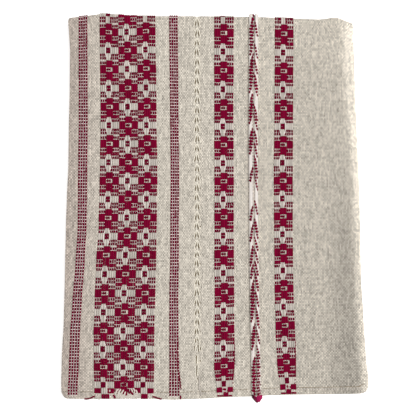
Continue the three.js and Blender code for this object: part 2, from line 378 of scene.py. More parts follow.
# Stray magenta ends that run beside a stripe near the hem, as points on the face
STRAY_SWAY_LENGTH = 3.07  # length over which a stray end weaves over and under once
STRAY_ENDS = [
    [(-37.5, -131), (-37.4, -160), (-35.9, -165), (-34.9, -173), (-33.9, -181.5)],
    [(19.2, -132), (19.4, -154), (18.4, -164), (17.6, -176)],
    [(80.1, -132), (80.5, -150), (80.3, -165), (79.8, -177)],
]

# Heights on the face where a magenta end of each rolled edge comes up out of the valley
ROLL_ENDS = {
    "left": (193, 190, 184, 177, 168, 154, 149, 144, 138, 132, 114, 108, 105, 101, 80, 76, 69, 42, 3, -17,
             -38, -42, -56, -72, -76, -80, -84, -90, -97, -116, -121, -125, -148, -154, -162, -170,
             -180),
    "right": (187, 164, 149, 135, 128, 103, 94, 78, 66, 52, 45, 34, 8, -9, -14, -28, -40, -53, -64, -68,
              -83, -99, -104, -119, -136, -146, -155, -163, -171, -177, -183),
}


def eased(share):
    held = np.clip(share, 0, 1)
    return held * held * (3 - 2 * held)


def from_table(rows, key, at, column):
    """Values between the rows of a table, eased so that the line has no corners at its rows."""
    keys = np.array([row[key] for row in rows], float)
    values = np.array([row[column] for row in rows], float)
    held = np.clip(at, keys[0], keys[-1])
    after = np.clip(np.searchsorted(keys, held), 1, len(keys) - 1)
    share = (held - keys[after - 1]) / (keys[after] - keys[after - 1])
    return values[after - 1] + (values[after] - values[after - 1]) * (share + eased(share)) / 2


def bell(distance, reach):
    return np.exp(-((distance / reach) ** 2))


def swell(x, y):
    """How much the top of the pile stands above or below its even height."""
    left = bell(x - from_table(LENGTHWISE, "y", y, "left"), EDGE_DROOP_REACH)
    right = bell(from_table(LENGTHWISE, "y", y, "right") - x, EDGE_DROOP_REACH)
    seam = SEAM_SWELL * bell(x - from_table(LENGTHWISE, "y", y, "seam"), SEAM_SWELL_REACH)
    total = seam - EDGE_DROOP * (left + right)
    for form in SOFT_FORMS:
        across = bell(x - form["x"], form["across"])
        total = total + form["rise"] * across * bell(y - form["y"], form["along"])
    return total


def end_wave(x, y):
    """How far the top fold or the hem, whichever is at that end, lies off a straight line."""
    return np.where(y > 0, from_table(TOP_FOLD_WAVE, "x", x, "shift"), from_table(HEM_WAVE, "x", x, "shift"))


def near_end(y):
    """0 in the middle of the pile, and up to 1 toward its two ends."""
    return eased((np.abs(y) - WAVE_START) / (WAVE_FULL - WAVE_START))


def settle(x, y, z, ripple, start):
    """The even pile turned into the soft one: its ends wave, its hidden folds ripple and it swells."""
    shift = end_wave(x, y) + ripple * np.sin(2 * np.pi * x / RIPPLE_LENGTH + start)
    height = z * (1 + swell(x, y) / PILE_HEIGHT)
    return np.stack(np.broadcast_arrays(x, y + shift * near_end(y), height), axis=-1)


PATH_KEYS = ("y", "z", "face_y", "face_z", "left_inset", "right_inset", "ripple", "start")
RUN_STEPS = 80  # points of the path along one run
TURN_STEPS = 24  # steps of the path round one cross fold


def fold_path():
    """The doubled cloth's middle line from its hem to its hidden end, as arrays of one value a step.

    Along is the length of the patterned sheet, and turns holds where each cross fold begins and ends.
    """
    path = {key: [] for key in PATH_KEYS}
    turn_rows = []

    def add(y, z, face_y, face_z, run, fold):
        low = RUN_INSETS[int(run)]
        high = RUN_INSETS[min(int(run) + 1, RUN_COUNT - 1)]
        share = run - int(run)
        values = {
            "y": y, "z": z, "face_y": face_y, "face_z": face_z,
            "left_inset": low["left"] + (high["left"] - low["left"]) * share,
            "right_inset": low["right"] + (high["right"] - low["right"]) * share,
            "ripple": fold["ripple"], "start": fold["start"],
        }
        for key, value in values.items():
            path[key].append(value)

    still = {"end": 0, "y": 0, "ripple": 0, "start": 0}
    y_from = HEM_Y
    for run in range(RUN_COUNT):
        level = MIDDLE_OF_TOP_RUN - run * RUN_PITCH
        facing = 1 if run % 2 == 0 else -1
        last = run == RUN_COUNT - 1
        y_to = LAST_END_Y if last else CROSS_FOLDS[run]["y"]
        beside = [CROSS_FOLDS[i] for i in (run - 1, run) if 0 <= i < len(CROSS_FOLDS)]
        for y in np.linspace(y_from, y_to, RUN_STEPS):
            add(y, level, 0, facing, run, next((row for row in beside if row["end"] * y > 0), still))
        if last:
            break
        fold = CROSS_FOLDS[run]
        turn_rows.append(len(path["y"]) - 1)
        for step in range(1, TURN_STEPS):
            angle = math.pi * step / TURN_STEPS
            out_y = fold["end"] * math.sin(angle)
            out_z = math.cos(angle)
            y = fold["y"] + TURN_RADIUS * out_y
            z = level - RUN_PITCH / 2 + TURN_RADIUS * out_z
            add(y, z, facing * out_y, facing * out_z, run + step / TURN_STEPS, fold)
        y_from = y_to
    path = {key: np.array(values, float) for key, values in path.items()}
    face = np.stack([path["y"] + FACE_MIDDLE * path["face_y"], path["z"] + FACE_MIDDLE * path["face_z"]], 1)
    steps = np.linalg.norm(np.diff(face, axis=0), axis=1)
    path["along"] = np.concatenate([[0], np.cumsum(steps)])
    path["turns"] = [(path["along"][row], path["along"][row + TURN_STEPS]) for row in turn_rows]
    return path


PATH = fold_path()


def places_at(along):
    """The path's values at lengths along the patterned sheet. Before the hem the face goes on level."""
    along = np.asarray(along, float)
    places = {key: np.interp(along, PATH["along"], PATH[key]) for key in PATH_KEYS}
    places["y"] = places["y"] + np.minimum(along, 0)
    places["along"] = along
    return places


def put_on_pile(places, x, out):
    """Points at x across and out from the run's middle, in millimetres."""
    y = places["y"] + places["face_y"] * out
    z = places["z"] + places["face_z"] * out
    return settle(x, y, z, places["ripple"], places["start"])


def edge_middles(places):
    """Where the two long folds turn, across the cloth."""
    left = from_table(LENGTHWISE, "y", places["y"], "left") + places["left_inset"] + FACE_OUTSIDE
    right = from_table(LENGTHWISE, "y", places["y"], "right") - places["right_inset"] - FACE_OUTSIDE
    return left, right


def warp_x(warp, places):
    """Where warp ends lie across the face. A warp end is named by its place in the evenly woven cloth."""
    left, right = edge_middles(places)
    even = [CLOTH_LEFT]
    found = [left]
    for name in STRIPES:
        for side in (0, 1):
            rows = [{"y": row["y"], "x": row[name][side]} for row in STRIPE_LINES]
            even.append(WOVEN_STRIPES[name][side])
            found.append(from_table(rows, "y", places["y"], "x"))
    even.append(CLOTH_RIGHT)
    found.append(right)
    warp = np.broadcast_to(warp, places["y"].shape)
    x = np.zeros(warp.shape)
    for before in range(len(even) - 1):
        inside = (warp >= even[before]) & (warp <= even[before + 1])
        share = (warp - even[before]) / (even[before + 1] - even[before])
        x = np.where(inside, found[before] + (found[before + 1] - found[before]) * share, x)
    return x


def wave_shift(x, y):
    """How far the waves of the top fold and the hem move the cloth at an even place of the top run."""
    return end_wave(x, y) * near_end(y)


def site_lengths(site):
    """The rows of WEFT_ROWS and their lengths along the face under one warp place."""
    rows = np.array([row["row"] for row in WEFT_ROWS], float)
    seen = np.array([row[site] for row in WEFT_ROWS], float)
    even = seen
    for _ in range(6):
        even = seen - wave_shift(np.full(len(seen), float(WEFT_SITES[site])), even)
    return rows, even - HEM_Y


WEFT_LENGTHS = {site: site_lengths(site) for site in WEFT_SITES}


def across_sites(values, warp):
    """Values between those of the warp places at which the rows are known."""
    sites = list(WEFT_SITES.values())
    found = values[0]
    for index in range(1, len(sites)):
        share = np.clip((warp - sites[index - 1]) / (sites[index] - sites[index - 1]), 0, 1)
        found = found + (values[index] - values[index - 1]) * share
    return found


def length_of_row(row, warp):
    """How far along the face a row of the weave lies at a warp end."""
    values = []
    for rows, lengths in WEFT_LENGTHS.values():
        before = np.minimum(row - rows[0], 0) * ROW_DEPTH
        after = np.maximum(row - rows[-1], 0) * ROW_DEPTH
        values.append(np.interp(row, rows, lengths) - before - after)
    return across_sites(values, warp)


def row_at_length(along, warp):
    values = []
    for rows, lengths in WEFT_LENGTHS.values():
        beyond = np.maximum(along - lengths[0], 0) / ROW_DEPTH
        short = np.maximum(lengths[-1] - along, 0) / ROW_DEPTH
        values.append(np.interp(along, lengths[::-1], rows[::-1]) - beyond + short)
    return across_sites(values, warp)


def hem_step(along):
    """1 on the turned hem, and 0 above it."""
    return 1 - eased((along - (HEM_DEPTH - HEM_STEP)) / HEM_STEP)


def hem_rise(along):
    """How much the turned hem stands above the face, rounded off at its very end."""
    end = np.clip(1 - along / HEM_EDGE, 0, 1) ** 2
    return np.where(along < 0, HEM_RISE, HEM_RISE * hem_step(along) - HEM_EDGE_FALL * end)


def on_face(warp, along, lift):
    """Points on the patterned face and the directions that the face looks in, in millimetres."""
    places = places_at(along)
    x = warp_x(warp, places)
    out = FACE_OUTSIDE + hem_rise(places["along"]) + lift
    points = put_on_pile(places, x, out)
    above = put_on_pile(places, x, out + 1)
    return points, above - points


def world(points):
    """Raw millimetres to the frame's metres."""
    return points * MM + FRAME_SHIFT


MEASURED_STEPS = 1500
MEASURED_ACROSS = (-150, 146, 75)  # places across at which the pile's ends are measured: from, to, count


def measure_shift():
    """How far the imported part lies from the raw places, from the extents of its cloth."""
    low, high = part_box(CLOTH_NODE)
    along = np.linspace(0, PATH["along"][-1], MEASURED_STEPS)
    places = places_at(along)
    left, right = edge_middles(places)
    sides = (np.min(left) - FACE_OUTSIDE + np.max(right) + FACE_OUTSIDE) / 2
    x = np.linspace(*MEASURED_ACROSS)[:, None]
    ends = put_on_pile({key: value[None, :] for key, value in places.items()}, x, FACE_OUTSIDE)
    lengthwise = (ends[..., 1].min() + ends[..., 1].max()) / 2
    return np.array([(low.x + high.x) / 2 - sides * MM, (low.y + high.y) / 2 - lengthwise * MM, 0])


FRAME_SHIFT = measure_shift()


# Node trees

class TreeMaker:
    """Short ways to add and link nodes in a tree."""

    def __init__(self, tree):
        self.tree = tree
        self.nodes = tree.nodes
        self.links = tree.links

    def add(self, kind, **settings):
        node = self.nodes.new(kind)
        for key, value in settings.items():
            setattr(node, key, value)
        return node

    def put(self, value, socket):
        """Links an output to the socket, or sets the socket to a plain value."""
        if isinstance(value, bpy.types.NodeSocket):
            self.links.new(value, socket)
        else:
            socket.default_value = value

    def math(self, operation, *values, clamp=False):
        node = self.add("ShaderNodeMath", operation=operation, use_clamp=clamp)
        for value, socket in zip(values, node.inputs):
            self.put(value, socket)
        return node.outputs[0]

    def mix_colour(self, factor, first, second, blend_type="MIX"):
        node = self.add("ShaderNodeMix", data_type="RGBA", blend_type=blend_type)
        self.put(factor, node.inputs[0])
        self.put(first, node.inputs[6])
        self.put(second, node.inputs[7])
        return node.outputs[2]

    def split(self, vector):
        node = self.add("ShaderNodeSeparateXYZ")
        self.put(vector, node.inputs[0])
        return node.outputs

    def join(self, *values):
        node = self.add("ShaderNodeCombineXYZ")
        for value, socket in zip(values, node.inputs):
            self.put(value, socket)
        return node.outputs[0]

    def smooth_step(self, value, start, end):
        """0 before the start, 1 past the end and eased between them."""
        node = self.add("ShaderNodeMapRange", interpolation_type="SMOOTHSTEP")
        self.put(value, node.inputs["Value"])
        self.put(start, node.inputs["From Min"])
        self.put(end, node.inputs["From Max"])
        return node.outputs[0]

    def noise(self, vector, scale, detail, roughness=0.5):
        node = self.add("ShaderNodeTexNoise")
        self.put(vector, node.inputs["Vector"])
        self.put(scale, node.inputs["Scale"])
        self.put(detail, node.inputs["Detail"])
        self.put(roughness, node.inputs["Roughness"])
        return node.outputs["Fac"]

    def group(self, tree, **values):
        node = self.add("ShaderNodeGroup")
        node.node_tree = tree
        for name, value in values.items():
            self.put(value, node.inputs[name.replace("_", " ").title()])
        return node


def shader_group(name, inputs, outputs):
    tree = bpy.data.node_groups.new(name, "ShaderNodeTree")
    for label, kind, default in inputs:
        socket = tree.interface.new_socket(label, in_out="INPUT", socket_type=kind)
        if default is not None:
            socket.default_value = default
    for label, kind in outputs:
        tree.interface.new_socket(label, in_out="OUTPUT", socket_type=kind)
    maker = TreeMaker(tree)
    return maker, maker.add("NodeGroupInput").outputs, maker.add("NodeGroupOutput").inputs


WARP_STREAK = 1.5  # how strong the light and dark streaks are along the warp yarns, and along the weft's
WEFT_STREAK = 0.45


def weave_group():
    """The ground weave: warp and weft yarns that pass over each other by turns. Its shade is their own
    uneven tone with painted shade in the hollows between them and painted light where the warp lies on top.
    """
    maker, given, out = shader_group(
        "Ground weave",
        [
            ("Vector", "NodeSocketVector", None),
            ("Warp Pitch", "NodeSocketFloat", 0.00123),
            ("Crossing", "NodeSocketFloat", 0.3),
            ("Speckle", "NodeSocketFloat", 0.46),
            ("Streak", "NodeSocketFloat", 0.5),
        ],
        [("Height", "NodeSocketFloat"), ("Shade", "NodeSocketFloat")],
    )
    across, along, _ = maker.split(given["Vector"])
    end = maker.math("DIVIDE", across, given["Warp Pitch"])
    row = maker.math("DIVIDE", along, ROW_DEPTH * MM)
    end_number = maker.math("FLOOR", end)
    row_number = maker.math("FLOOR", row)
    half = maker.math("MULTIPLY", maker.math("ADD", end_number, row_number), 0.5)
    warp_on_top = maker.math("GREATER_THAN", maker.math("FRACT", half), 0.25)
    across_end = maker.math("SINE", maker.math("MULTIPLY", maker.math("FRACT", end), math.pi))
    across_row = maker.math("SINE", maker.math("MULTIPLY", maker.math("FRACT", row), math.pi))
    warp_round = maker.math("MULTIPLY", across_end, maker.math("MULTIPLY_ADD", across_row, 0.35, 0.65))
    weft_round = maker.math("MULTIPLY", across_row, maker.math("MULTIPLY_ADD", across_end, 0.35, 0.65))
    pick = maker.add("ShaderNodeMix", data_type="FLOAT")
    maker.put(warp_on_top, pick.inputs[0])
    maker.put(weft_round, pick.inputs[2])
    maker.put(warp_round, pick.inputs[3])
    height = pick.outputs[0]
    grain = maker.add("ShaderNodeTexWhiteNoise", noise_dimensions="2D")
    maker.put(maker.join(end_number, row_number), grain.inputs["Vector"])
    shade = maker.math("MULTIPLY", maker.math("SUBTRACT", grain.outputs["Value"], 0.5), given["Speckle"])
    for yarn, lengthwise, share in ((end_number, along, WARP_STREAK), (row_number, across, WEFT_STREAK)):
        place = maker.join(maker.math("MULTIPLY", yarn, 7.31), maker.math("MULTIPLY", lengthwise, 90.0))
        streak = maker.math("SUBTRACT", maker.noise(place, 1.0, 1.0), 0.5)
        streak = maker.math("MULTIPLY", streak, share)
        shade = maker.math("ADD", shade, maker.math("MULTIPLY", streak, given["Streak"]))
    # Painted light where the warp lies on top, and painted shade in the hollows between the yarns from their
    # height
    crossing = maker.math("MULTIPLY", maker.math("SUBTRACT", warp_on_top, 0.5), given["Crossing"])
    relief = maker.math("MULTIPLY_ADD", height, 0.45, 0.25)
    maker.put(height, out["Height"])
    maker.put(maker.math("ADD", maker.math("ADD", shade, crossing), relief), out["Shade"])
    return maker.tree


def fibre_group():
    """Soft uneven colour and the fine hairs of spun cotton."""
    maker, given, out = shader_group(
        "Spun cotton",
        [
            ("Vector", "NodeSocketVector", None),
            ("Patch Size", "NodeSocketFloat", 0.03),
            ("Hair Size", "NodeSocketFloat", 0.0005),
        ],
        [("Patch", "NodeSocketFloat"), ("Hair", "NodeSocketFloat")],
    )
    patch_scale = maker.math("DIVIDE", 1.0, given["Patch Size"])
    hair_scale = maker.math("DIVIDE", 1.0, given["Hair Size"])
    maker.put(maker.noise(given["Vector"], patch_scale, 3.0), out["Patch"])
    maker.put(maker.noise(given["Vector"], hair_scale, 2.0, 0.65), out["Hair"])
    return maker.tree


def chart_ramp(maker, factor, letters):
    """One end of the weaver's chart as steps of a ramp that repeats with the flower."""
    ramp = maker.add("ShaderNodeValToRGB")
    ramp.color_ramp.interpolation = "CONSTANT"
    elements = ramp.color_ramp.elements
    elements.remove(elements[1])
    elements[0].position = 0
    changes = [row for row in range(len(letters)) if row == 0 or letters[row] != letters[row - 1]]
    for row in changes:
        element = elements[0] if row == 0 else elements.new(row / len(letters))
        level = 1.0 if letters[row] == "M" else 0.0
        element.color = (level, level, level, 1)
    maker.put(factor, ramp.inputs[0])
    return ramp.outputs[0]


def across_stripe(maker, given):
    """How far along the cloth and across a stripe a place lies, and whether it is in the stripe."""
    across, along, _ = maker.split(given["Vector"])
    width = maker.math("SUBTRACT", given["Right"], given["Left"])
    share = maker.math("DIVIDE", maker.math("SUBTRACT", across, given["Left"]), width)
    return along, share, maker.math("COMPARE", share, 0.5, 0.5)


def brocade_group():
    """Where the magenta ends of a brocade stripe are on the face, by the weaver's chart."""
    maker, given, out = shader_group(
        "Brocade chart",
        [
            ("Vector", "NodeSocketVector", None),
            ("Left", "NodeSocketFloat", 0.0),
            ("Right", "NodeSocketFloat", 0.02),
            ("Flowers", "NodeSocketFloat", 1.0),
        ],
        [("Magenta", "NodeSocketFloat")],
    )
    along, share, inside = across_stripe(maker, given)
    flower = maker.math("MULTIPLY", share, given["Flowers"])
    middle = maker.math("COMPARE", maker.math("FLOOR", flower), 1.0, 0.5)
    end = maker.math("MULTIPLY", maker.math("FRACT", flower), float(len(FLOWER_ENDS)))
    row = maker.math("DIVIDE", along, ROW_DEPTH * MM)
    shifted = maker.math("ADD", row, maker.math("MULTIPLY", middle, float(MIDDLE_FLOWER_SHIFT)))
    factor = maker.math("FRACT", maker.math("DIVIDE", shifted, float(ROWS_PER_FLOWER)))
    found = chart_ramp(maker, factor, CHART["side"])
    for kind in ("centre", "shared"):
        half = FLOWER_ENDS.count(kind) / 2
        is_kind = maker.math("COMPARE", end, FLOWER_ENDS.index(kind) + half, half)
        found = maker.mix_colour(is_kind, found, chart_ramp(maker, factor, CHART[kind]))
    on_yarn = maker.math("COMPARE", maker.math("FRACT", end), 0.5, 0.44)
    worn = maker.math("GREATER_THAN", row, float(WORN_ROW))
    whole = maker.math("SUBTRACT", inside, worn, clamp=True)
    maker.put(maker.math("MULTIPLY", maker.math("MULTIPLY", found, on_yarn), whole), out["Magenta"])
    return maker.tree


def check_group():
    """Where the magenta dots of a check stripe are on the face."""
    maker, given, out = shader_group(
        "Check stripe",
        [
            ("Vector", "NodeSocketVector", None),
            ("Left", "NodeSocketFloat", 0.0),
            ("Right", "NodeSocketFloat", 0.009),
        ],
        [("Magenta", "NodeSocketFloat")],
    )
    along, share, inside = across_stripe(maker, given)
    row = maker.math("DIVIDE", along, 2 * ROW_DEPTH * MM)
    dot_row = maker.math("COMPARE", maker.math("FRACT", row), 0.75, 0.25)
    end = maker.math("FRACT", maker.math("MULTIPLY", share, float(STRIPES["check_1"])))
    dot_end = maker.math("COMPARE", end, 0.5, 0.39)
    dots = maker.math("MULTIPLY", dot_row, dot_end)
    dots = maker.math("MULTIPLY", dots, maker.math("LESS_THAN", row, CHECK_END / 2))
    maker.put(maker.math("MULTIPLY", dots, inside), out["Magenta"])
    return maker.tree


GROUPS = {}


def shared_group(name):
    """Each shared group is built once."""
    makers = {"weave": weave_group, "fibre": fibre_group, "brocade": brocade_group, "check": check_group}
    if name not in GROUPS:
        GROUPS[name] = makers[name]()
    return GROUPS[name]


def new_material(name):
    material = bpy.data.materials.new(name)
    material.use_nodes = True
    maker = TreeMaker(material.node_tree)
    shader = maker.nodes["Principled BSDF"]
    return material, maker, shader


def darker(colour, share):
    return tuple(channel * share for channel in colour[:3]) + (1.0,)


CLOTH_ROUGHNESS = 0.88
YARN_ROUGHNESS = 0.86
CLOTH_SHEEN = 0.12
COTTON_SPECULAR = 0.08


def finish_cotton(maker, shader, colour, height, bump, roughness, sheen):
    """The last nodes of every cotton material."""
    relief = maker.add("ShaderNodeBump")
    relief.inputs["Strength"].default_value = 1.0
    relief.inputs["Distance"].default_value = bump * MM
    maker.put(height, relief.inputs["Height"])
    maker.put(colour, shader.inputs["Base Color"])
    maker.put(relief.outputs[0], shader.inputs["Normal"])
    shader.inputs["Roughness"].default_value = roughness
    shader.inputs["Sheen Weight"].default_value = sheen
    shader.inputs["Sheen Roughness"].default_value = 0.5
    shader.inputs["Specular IOR Level"].default_value = COTTON_SPECULAR


# Stretches over which the painted shade and highlight on the cloth change, in metres from start to full
SHADING_STRETCHES = {
    "below_top": (0.165, 0.12),
    "right": (0.03, 0.085),
    "left": (-0.1, -0.15),
    "downward": (0.09, -0.08),
    "hollow": (0.105, 0.13),
    "upward": (0.05, 0.13),
    "past_rim": (0.156, 0.166),
}
# Shares of the painted shade toward each long fold and in the hollow; then where the painted highlight lies
# along the right fold
PAINTED_SHADE_SHARES = {"left": 0.62, "right": 0.55, "hollow": 1.05}  # shares of the greying
RIM_HIGHLIGHT = {"from": 0.129, "to": 0.139, "wider_at_top": 0.008, "weaker_at_top": 0.3}  # woven places in metres


def greying(maker, place, woven):
    """Painted shade: how much greyer the cloth is toward its long folds and in a hollow, how far its shaded
    left side leans to pink, and the painted highlight of its paler right rim.
    """
    x, y, _ = maker.split(place)
    end = maker.split(woven)[0]

    def toward(value, name):
        return maker.smooth_step(value, *SHADING_STRETCHES[name])

    below_top = maker.math("MULTIPLY_ADD", toward(y, "below_top"), 0.7, 0.3)
    right = maker.math("MULTIPLY", toward(x, "right"), below_top)
    left = toward(x, "left")
    hollow = maker.math("MULTIPLY", toward(x, "hollow"), toward(y, "downward"))
    right_share = maker.math("MULTIPLY", right, PAINTED_SHADE_SHARES["right"])
    sides = maker.math("MULTIPLY_ADD", left, PAINTED_SHADE_SHARES["left"], right_share)
    fold_shade = maker.math("MULTIPLY_ADD", hollow, PAINTED_SHADE_SHARES["hollow"], sides)
    upward = toward(y, "upward")
    start = maker.math("MULTIPLY_ADD", upward, -RIM_HIGHLIGHT["wider_at_top"], RIM_HIGHLIGHT["from"])
    edge = maker.smooth_step(end, start, RIM_HIGHLIGHT["to"])
    edge = maker.math("MULTIPLY", edge, maker.math("SUBTRACT", 1.0, toward(end, "past_rim")))
    rim = maker.math("MULTIPLY", edge, maker.math("MULTIPLY_ADD", upward, -RIM_HIGHLIGHT["weaker_at_top"], 1.0))
    return fold_shade, left, rim


def woven_cotton(maker, look):
    """The woven and plain places of a cotton piece, its weave and fibre, and how light its yarns are: their
    own tone with the weave's painted shade.
    """
    woven = maker.add("ShaderNodeUVMap", uv_map="woven").outputs[0]
    place = maker.add("ShaderNodeTexCoord").outputs["Object"]
    weave = maker.group(shared_group("weave"), vector=woven)
    fibre = maker.group(shared_group("fibre"), vector=place)
    contrast = look.weave_tone_and_shade
    level = maker.math("MULTIPLY_ADD", weave.outputs["Shade"], contrast, 1 - contrast / 2)
    return woven, place, weave, fibre, level


def cloth_material(look):
    """Cream cotton with the pattern's colours under its yarns, darkened there as painted shade, with painted
    shade toward its long folds and a painted highlight along the right one.
    """
    material, maker, shader = new_material("cream_weave")
    cream = tuple(look.cream) + (1.0,)
    magenta = tuple(look.magenta) + (1.0,)
    woven, place, weave, fibre, shade = woven_cotton(maker, look)
    patch = maker.math("MULTIPLY_ADD", fibre.outputs["Patch"], 0.08, 0.96)
    fold_shade, left_shade, rim = greying(maker, place, woven)
    # Painted shade toward the long folds and in the hollow, and a painted highlight along the right fold
    painted_shading = maker.math("MULTIPLY_ADD", fold_shade, -look.fold_painted_shade, 1.0)
    painted_shading = maker.math("MULTIPLY", painted_shading, maker.math("MULTIPLY_ADD", rim, look.rim_painted_highlight, 1.0))
    level = maker.math("MULTIPLY", maker.math("MULTIPLY", shade, patch), painted_shading)
    # The shaded left side is painted a pinker cream
    ground = maker.mix_colour(left_shade, cream, tuple(look.cream_in_left_shade) + (1.0,))
    lit = maker.mix_colour(1.0, ground, level, "MULTIPLY")
    masks = []
    for name, ends in STRIPES.items():
        left, right = (edge * MM for edge in WOVEN_STRIPES[name])
        if name.startswith("check"):
            group = maker.group(shared_group("check"), vector=woven, left=left, right=right)
        else:
            flowers = ends / len(FLOWER_ENDS)
            chart = shared_group("brocade")
            group = maker.group(chart, vector=woven, left=left, right=right, flowers=flowers)
        masks.append(group.outputs[0])
    mask = masks[0]
    for other in masks[1:]:
        mask = maker.math("MAXIMUM", mask, other)
    # Under the floats the magenta is darkened: painted shade between the yarns
    patterned = maker.mix_colour(mask, lit, darker(magenta, 0.75))
    height = maker.math("ADD", maker.math("MULTIPLY", weave.outputs["Height"], 0.8),
                        maker.math("MULTIPLY", fibre.outputs["Hair"], 0.4))
    finish_cotton(maker, shader, patterned, height, look.weave_depth, CLOTH_ROUGHNESS, CLOTH_SHEEN)
    return material


def seam_material(look):
    """Paler cream cotton for the rolled edges."""
    material, maker, shader = new_material("seam_weave")
    _, _, _, fibre, level = woven_cotton(maker, look)
    lit = maker.mix_colour(1.0, tuple(look.pale_yarn) + (1.0,), level, "MULTIPLY")
    finish_cotton(maker, shader, lit, fibre.outputs["Hair"], look.weave_depth, CLOTH_ROUGHNESS, CLOTH_SHEEN)
    return material


def yarn_material(name, colour, variety, bump=0.12, sheen=0.0):
    """Spun cotton yarn. Each yarn's shade comes from its attribute: its own tone, and painted light or shade
    on the seam's right-lobe floats and the tuft's ends.
    """
    material, maker, shader = new_material(name)
    place = maker.add("ShaderNodeTexCoord").outputs["Object"]
    fibre = maker.group(shared_group("fibre"), vector=place)
    own = maker.add("ShaderNodeAttribute", attribute_name="yarn_shade").outputs["Fac"]
    level = maker.math("MULTIPLY_ADD", own, variety, 1.0 - variety / 2)
    hair = maker.math("MULTIPLY_ADD", fibre.outputs["Hair"], 0.3, 0.85)
    patch = maker.math("MULTIPLY_ADD", fibre.outputs["Patch"], 0.12, 0.94)
    level = maker.math("MULTIPLY", maker.math("MULTIPLY", level, hair), patch)
    tinted = maker.mix_colour(1.0, tuple(colour[:3]) + (1.0,), level, "MULTIPLY")
    finish_cotton(maker, shader, tinted, fibre.outputs["Hair"], bump, YARN_ROUGHNESS, sheen)
    return material


# Yarns as geometry

def yarn_tree():
    """Tubes along the edges of a mesh, flattened against the cloth: the yarns that lie on it."""
    tree = bpy.data.node_groups.new("Laid yarns", "GeometryNodeTree")
    interface = tree.interface
    interface.new_socket("Geometry", in_out="INPUT", socket_type="NodeSocketGeometry")
    for label, kind, default in (
        ("Sides", "NodeSocketInt", 6),
        ("Flatness", "NodeSocketFloat", 0.5),
        ("Material", "NodeSocketMaterial", None),
    ):
        socket = interface.new_socket(label, in_out="INPUT", socket_type=kind)
        if default is not None:
            socket.default_value = default
    interface.new_socket("Geometry", in_out="OUTPUT", socket_type="NodeSocketGeometry")
    maker = TreeMaker(tree)
    given = maker.add("NodeGroupInput").outputs

    def attribute(name, kind):
        node = maker.add("GeometryNodeInputNamedAttribute", data_type=kind)
        node.inputs["Name"].default_value = name
        return node.outputs["Attribute"]

    lines = maker.add("GeometryNodeMeshToCurve")
    maker.put(given["Geometry"], lines.inputs["Mesh"])
    upright = maker.add("GeometryNodeSetCurveNormal", mode="FREE")
    maker.put(lines.outputs[0], upright.inputs["Curve"])
    maker.put(attribute("cloth_up", "FLOAT_VECTOR"), upright.inputs["Normal"])
    circle = maker.add("GeometryNodeCurvePrimitiveCircle")
    maker.put(given["Sides"], circle.inputs["Resolution"])
    circle.inputs["Radius"].default_value = 1.0
    scale = maker.add("ShaderNodeCombineXYZ")
    maker.put(given["Flatness"], scale.inputs["X"])
    scale.inputs["Y"].default_value = 1.0
    scale.inputs["Z"].default_value = 1.0
    section = maker.add("GeometryNodeTransform")
    maker.put(circle.outputs["Curve"], section.inputs["Geometry"])
    maker.put(scale.outputs[0], section.inputs["Scale"])
    tubes = maker.add("GeometryNodeCurveToMesh")
    maker.put(upright.outputs[0], tubes.inputs["Curve"])
    maker.put(section.outputs[0], tubes.inputs["Profile Curve"])
    maker.put(attribute("yarn_radius", "FLOAT"), tubes.inputs["Scale"])
    tubes.inputs["Fill Caps"].default_value = True
    smooth = maker.add("GeometryNodeSetShadeSmooth")
    maker.put(tubes.outputs[0], smooth.inputs["Geometry"])
    real = maker.add("GeometryNodeRealizeInstances")
    maker.put(smooth.outputs[0], real.inputs["Geometry"])
    painted = maker.add("GeometryNodeSetMaterial")
    maker.put(real.outputs[0], painted.inputs["Geometry"])
    maker.put(given["Material"], painted.inputs["Material"])
    maker.put(painted.outputs[0], maker.add("NodeGroupOutput").inputs["Geometry"])
    return tree


def link(obj):
    bpy.context.scene.collection.objects.link(obj)
    return obj


def set_inputs(modifier, **values):
    """Sets a Geometry Nodes modifier's inputs by the identifiers of their sockets."""
    for item in modifier.node_group.interface.items_tree:
        if item.item_type == "SOCKET" and item.in_out == "INPUT" and item.name.lower() in values:
            modifier[item.identifier] = values[item.name.lower()]


def apply_modifiers(obj):
    """Turns what the modifiers make into a plain mesh."""
    depsgraph = bpy.context.evaluated_depsgraph_get()
    made = bpy.data.meshes.new_from_object(obj.evaluated_get(depsgraph), depsgraph=depsgraph)
    obj.modifiers.clear()
    old = obj.data
    obj.data = made
    made.name = obj.name
    bpy.data.meshes.remove(old)
    return obj


class YarnLines:
    """Yarns gathered as lines of points before their tubes are made."""

    def __init__(self):
        self.points, self.ups, self.radii, self.shades, self.edges = [], [], [], [], []
        self.count = 0

    def add(self, points, ups, radii, shade):
        """One yarn: its points in millimetres, the cloth's direction there, its radii and its own shade."""
        size = len(points)
        self.points.append(points)
        self.ups.append(ups)
        self.radii.append(np.broadcast_to(radii, size))
        self.shades.append(np.full(size, shade))
        start = np.arange(self.count, self.count + size - 1)
        self.edges.append(np.stack([start, start + 1], 1))
        self.count += size

    def make(self, name, material, sides=6, flatness=0.5):
        mesh = bpy.data.meshes.new(name)
        points = world(np.concatenate(self.points))
        edges = np.concatenate(self.edges)
        mesh.from_pydata(points.tolist(), edges.tolist(), [])
        for key, kind, field, values in (
            ("cloth_up", "FLOAT_VECTOR", "vector", np.concatenate(self.ups)),
            ("yarn_radius", "FLOAT", "value", np.concatenate(self.radii) * MM),
            ("yarn_shade", "FLOAT", "value", np.concatenate(self.shades)),
        ):
            attribute = mesh.attributes.new(key, kind, "POINT")
            attribute.data.foreach_set(field, np.asarray(values, np.float32).ravel())
        obj = link(bpy.data.objects.new(name, mesh))
        modifier = obj.modifiers.new("Laid yarns", "NODES")
        modifier.node_group = bpy.data.node_groups.get("Laid yarns") or yarn_tree()
        set_inputs(modifier, sides=sides, flatness=flatness, material=material)
        return apply_modifiers(obj)


# The cloth

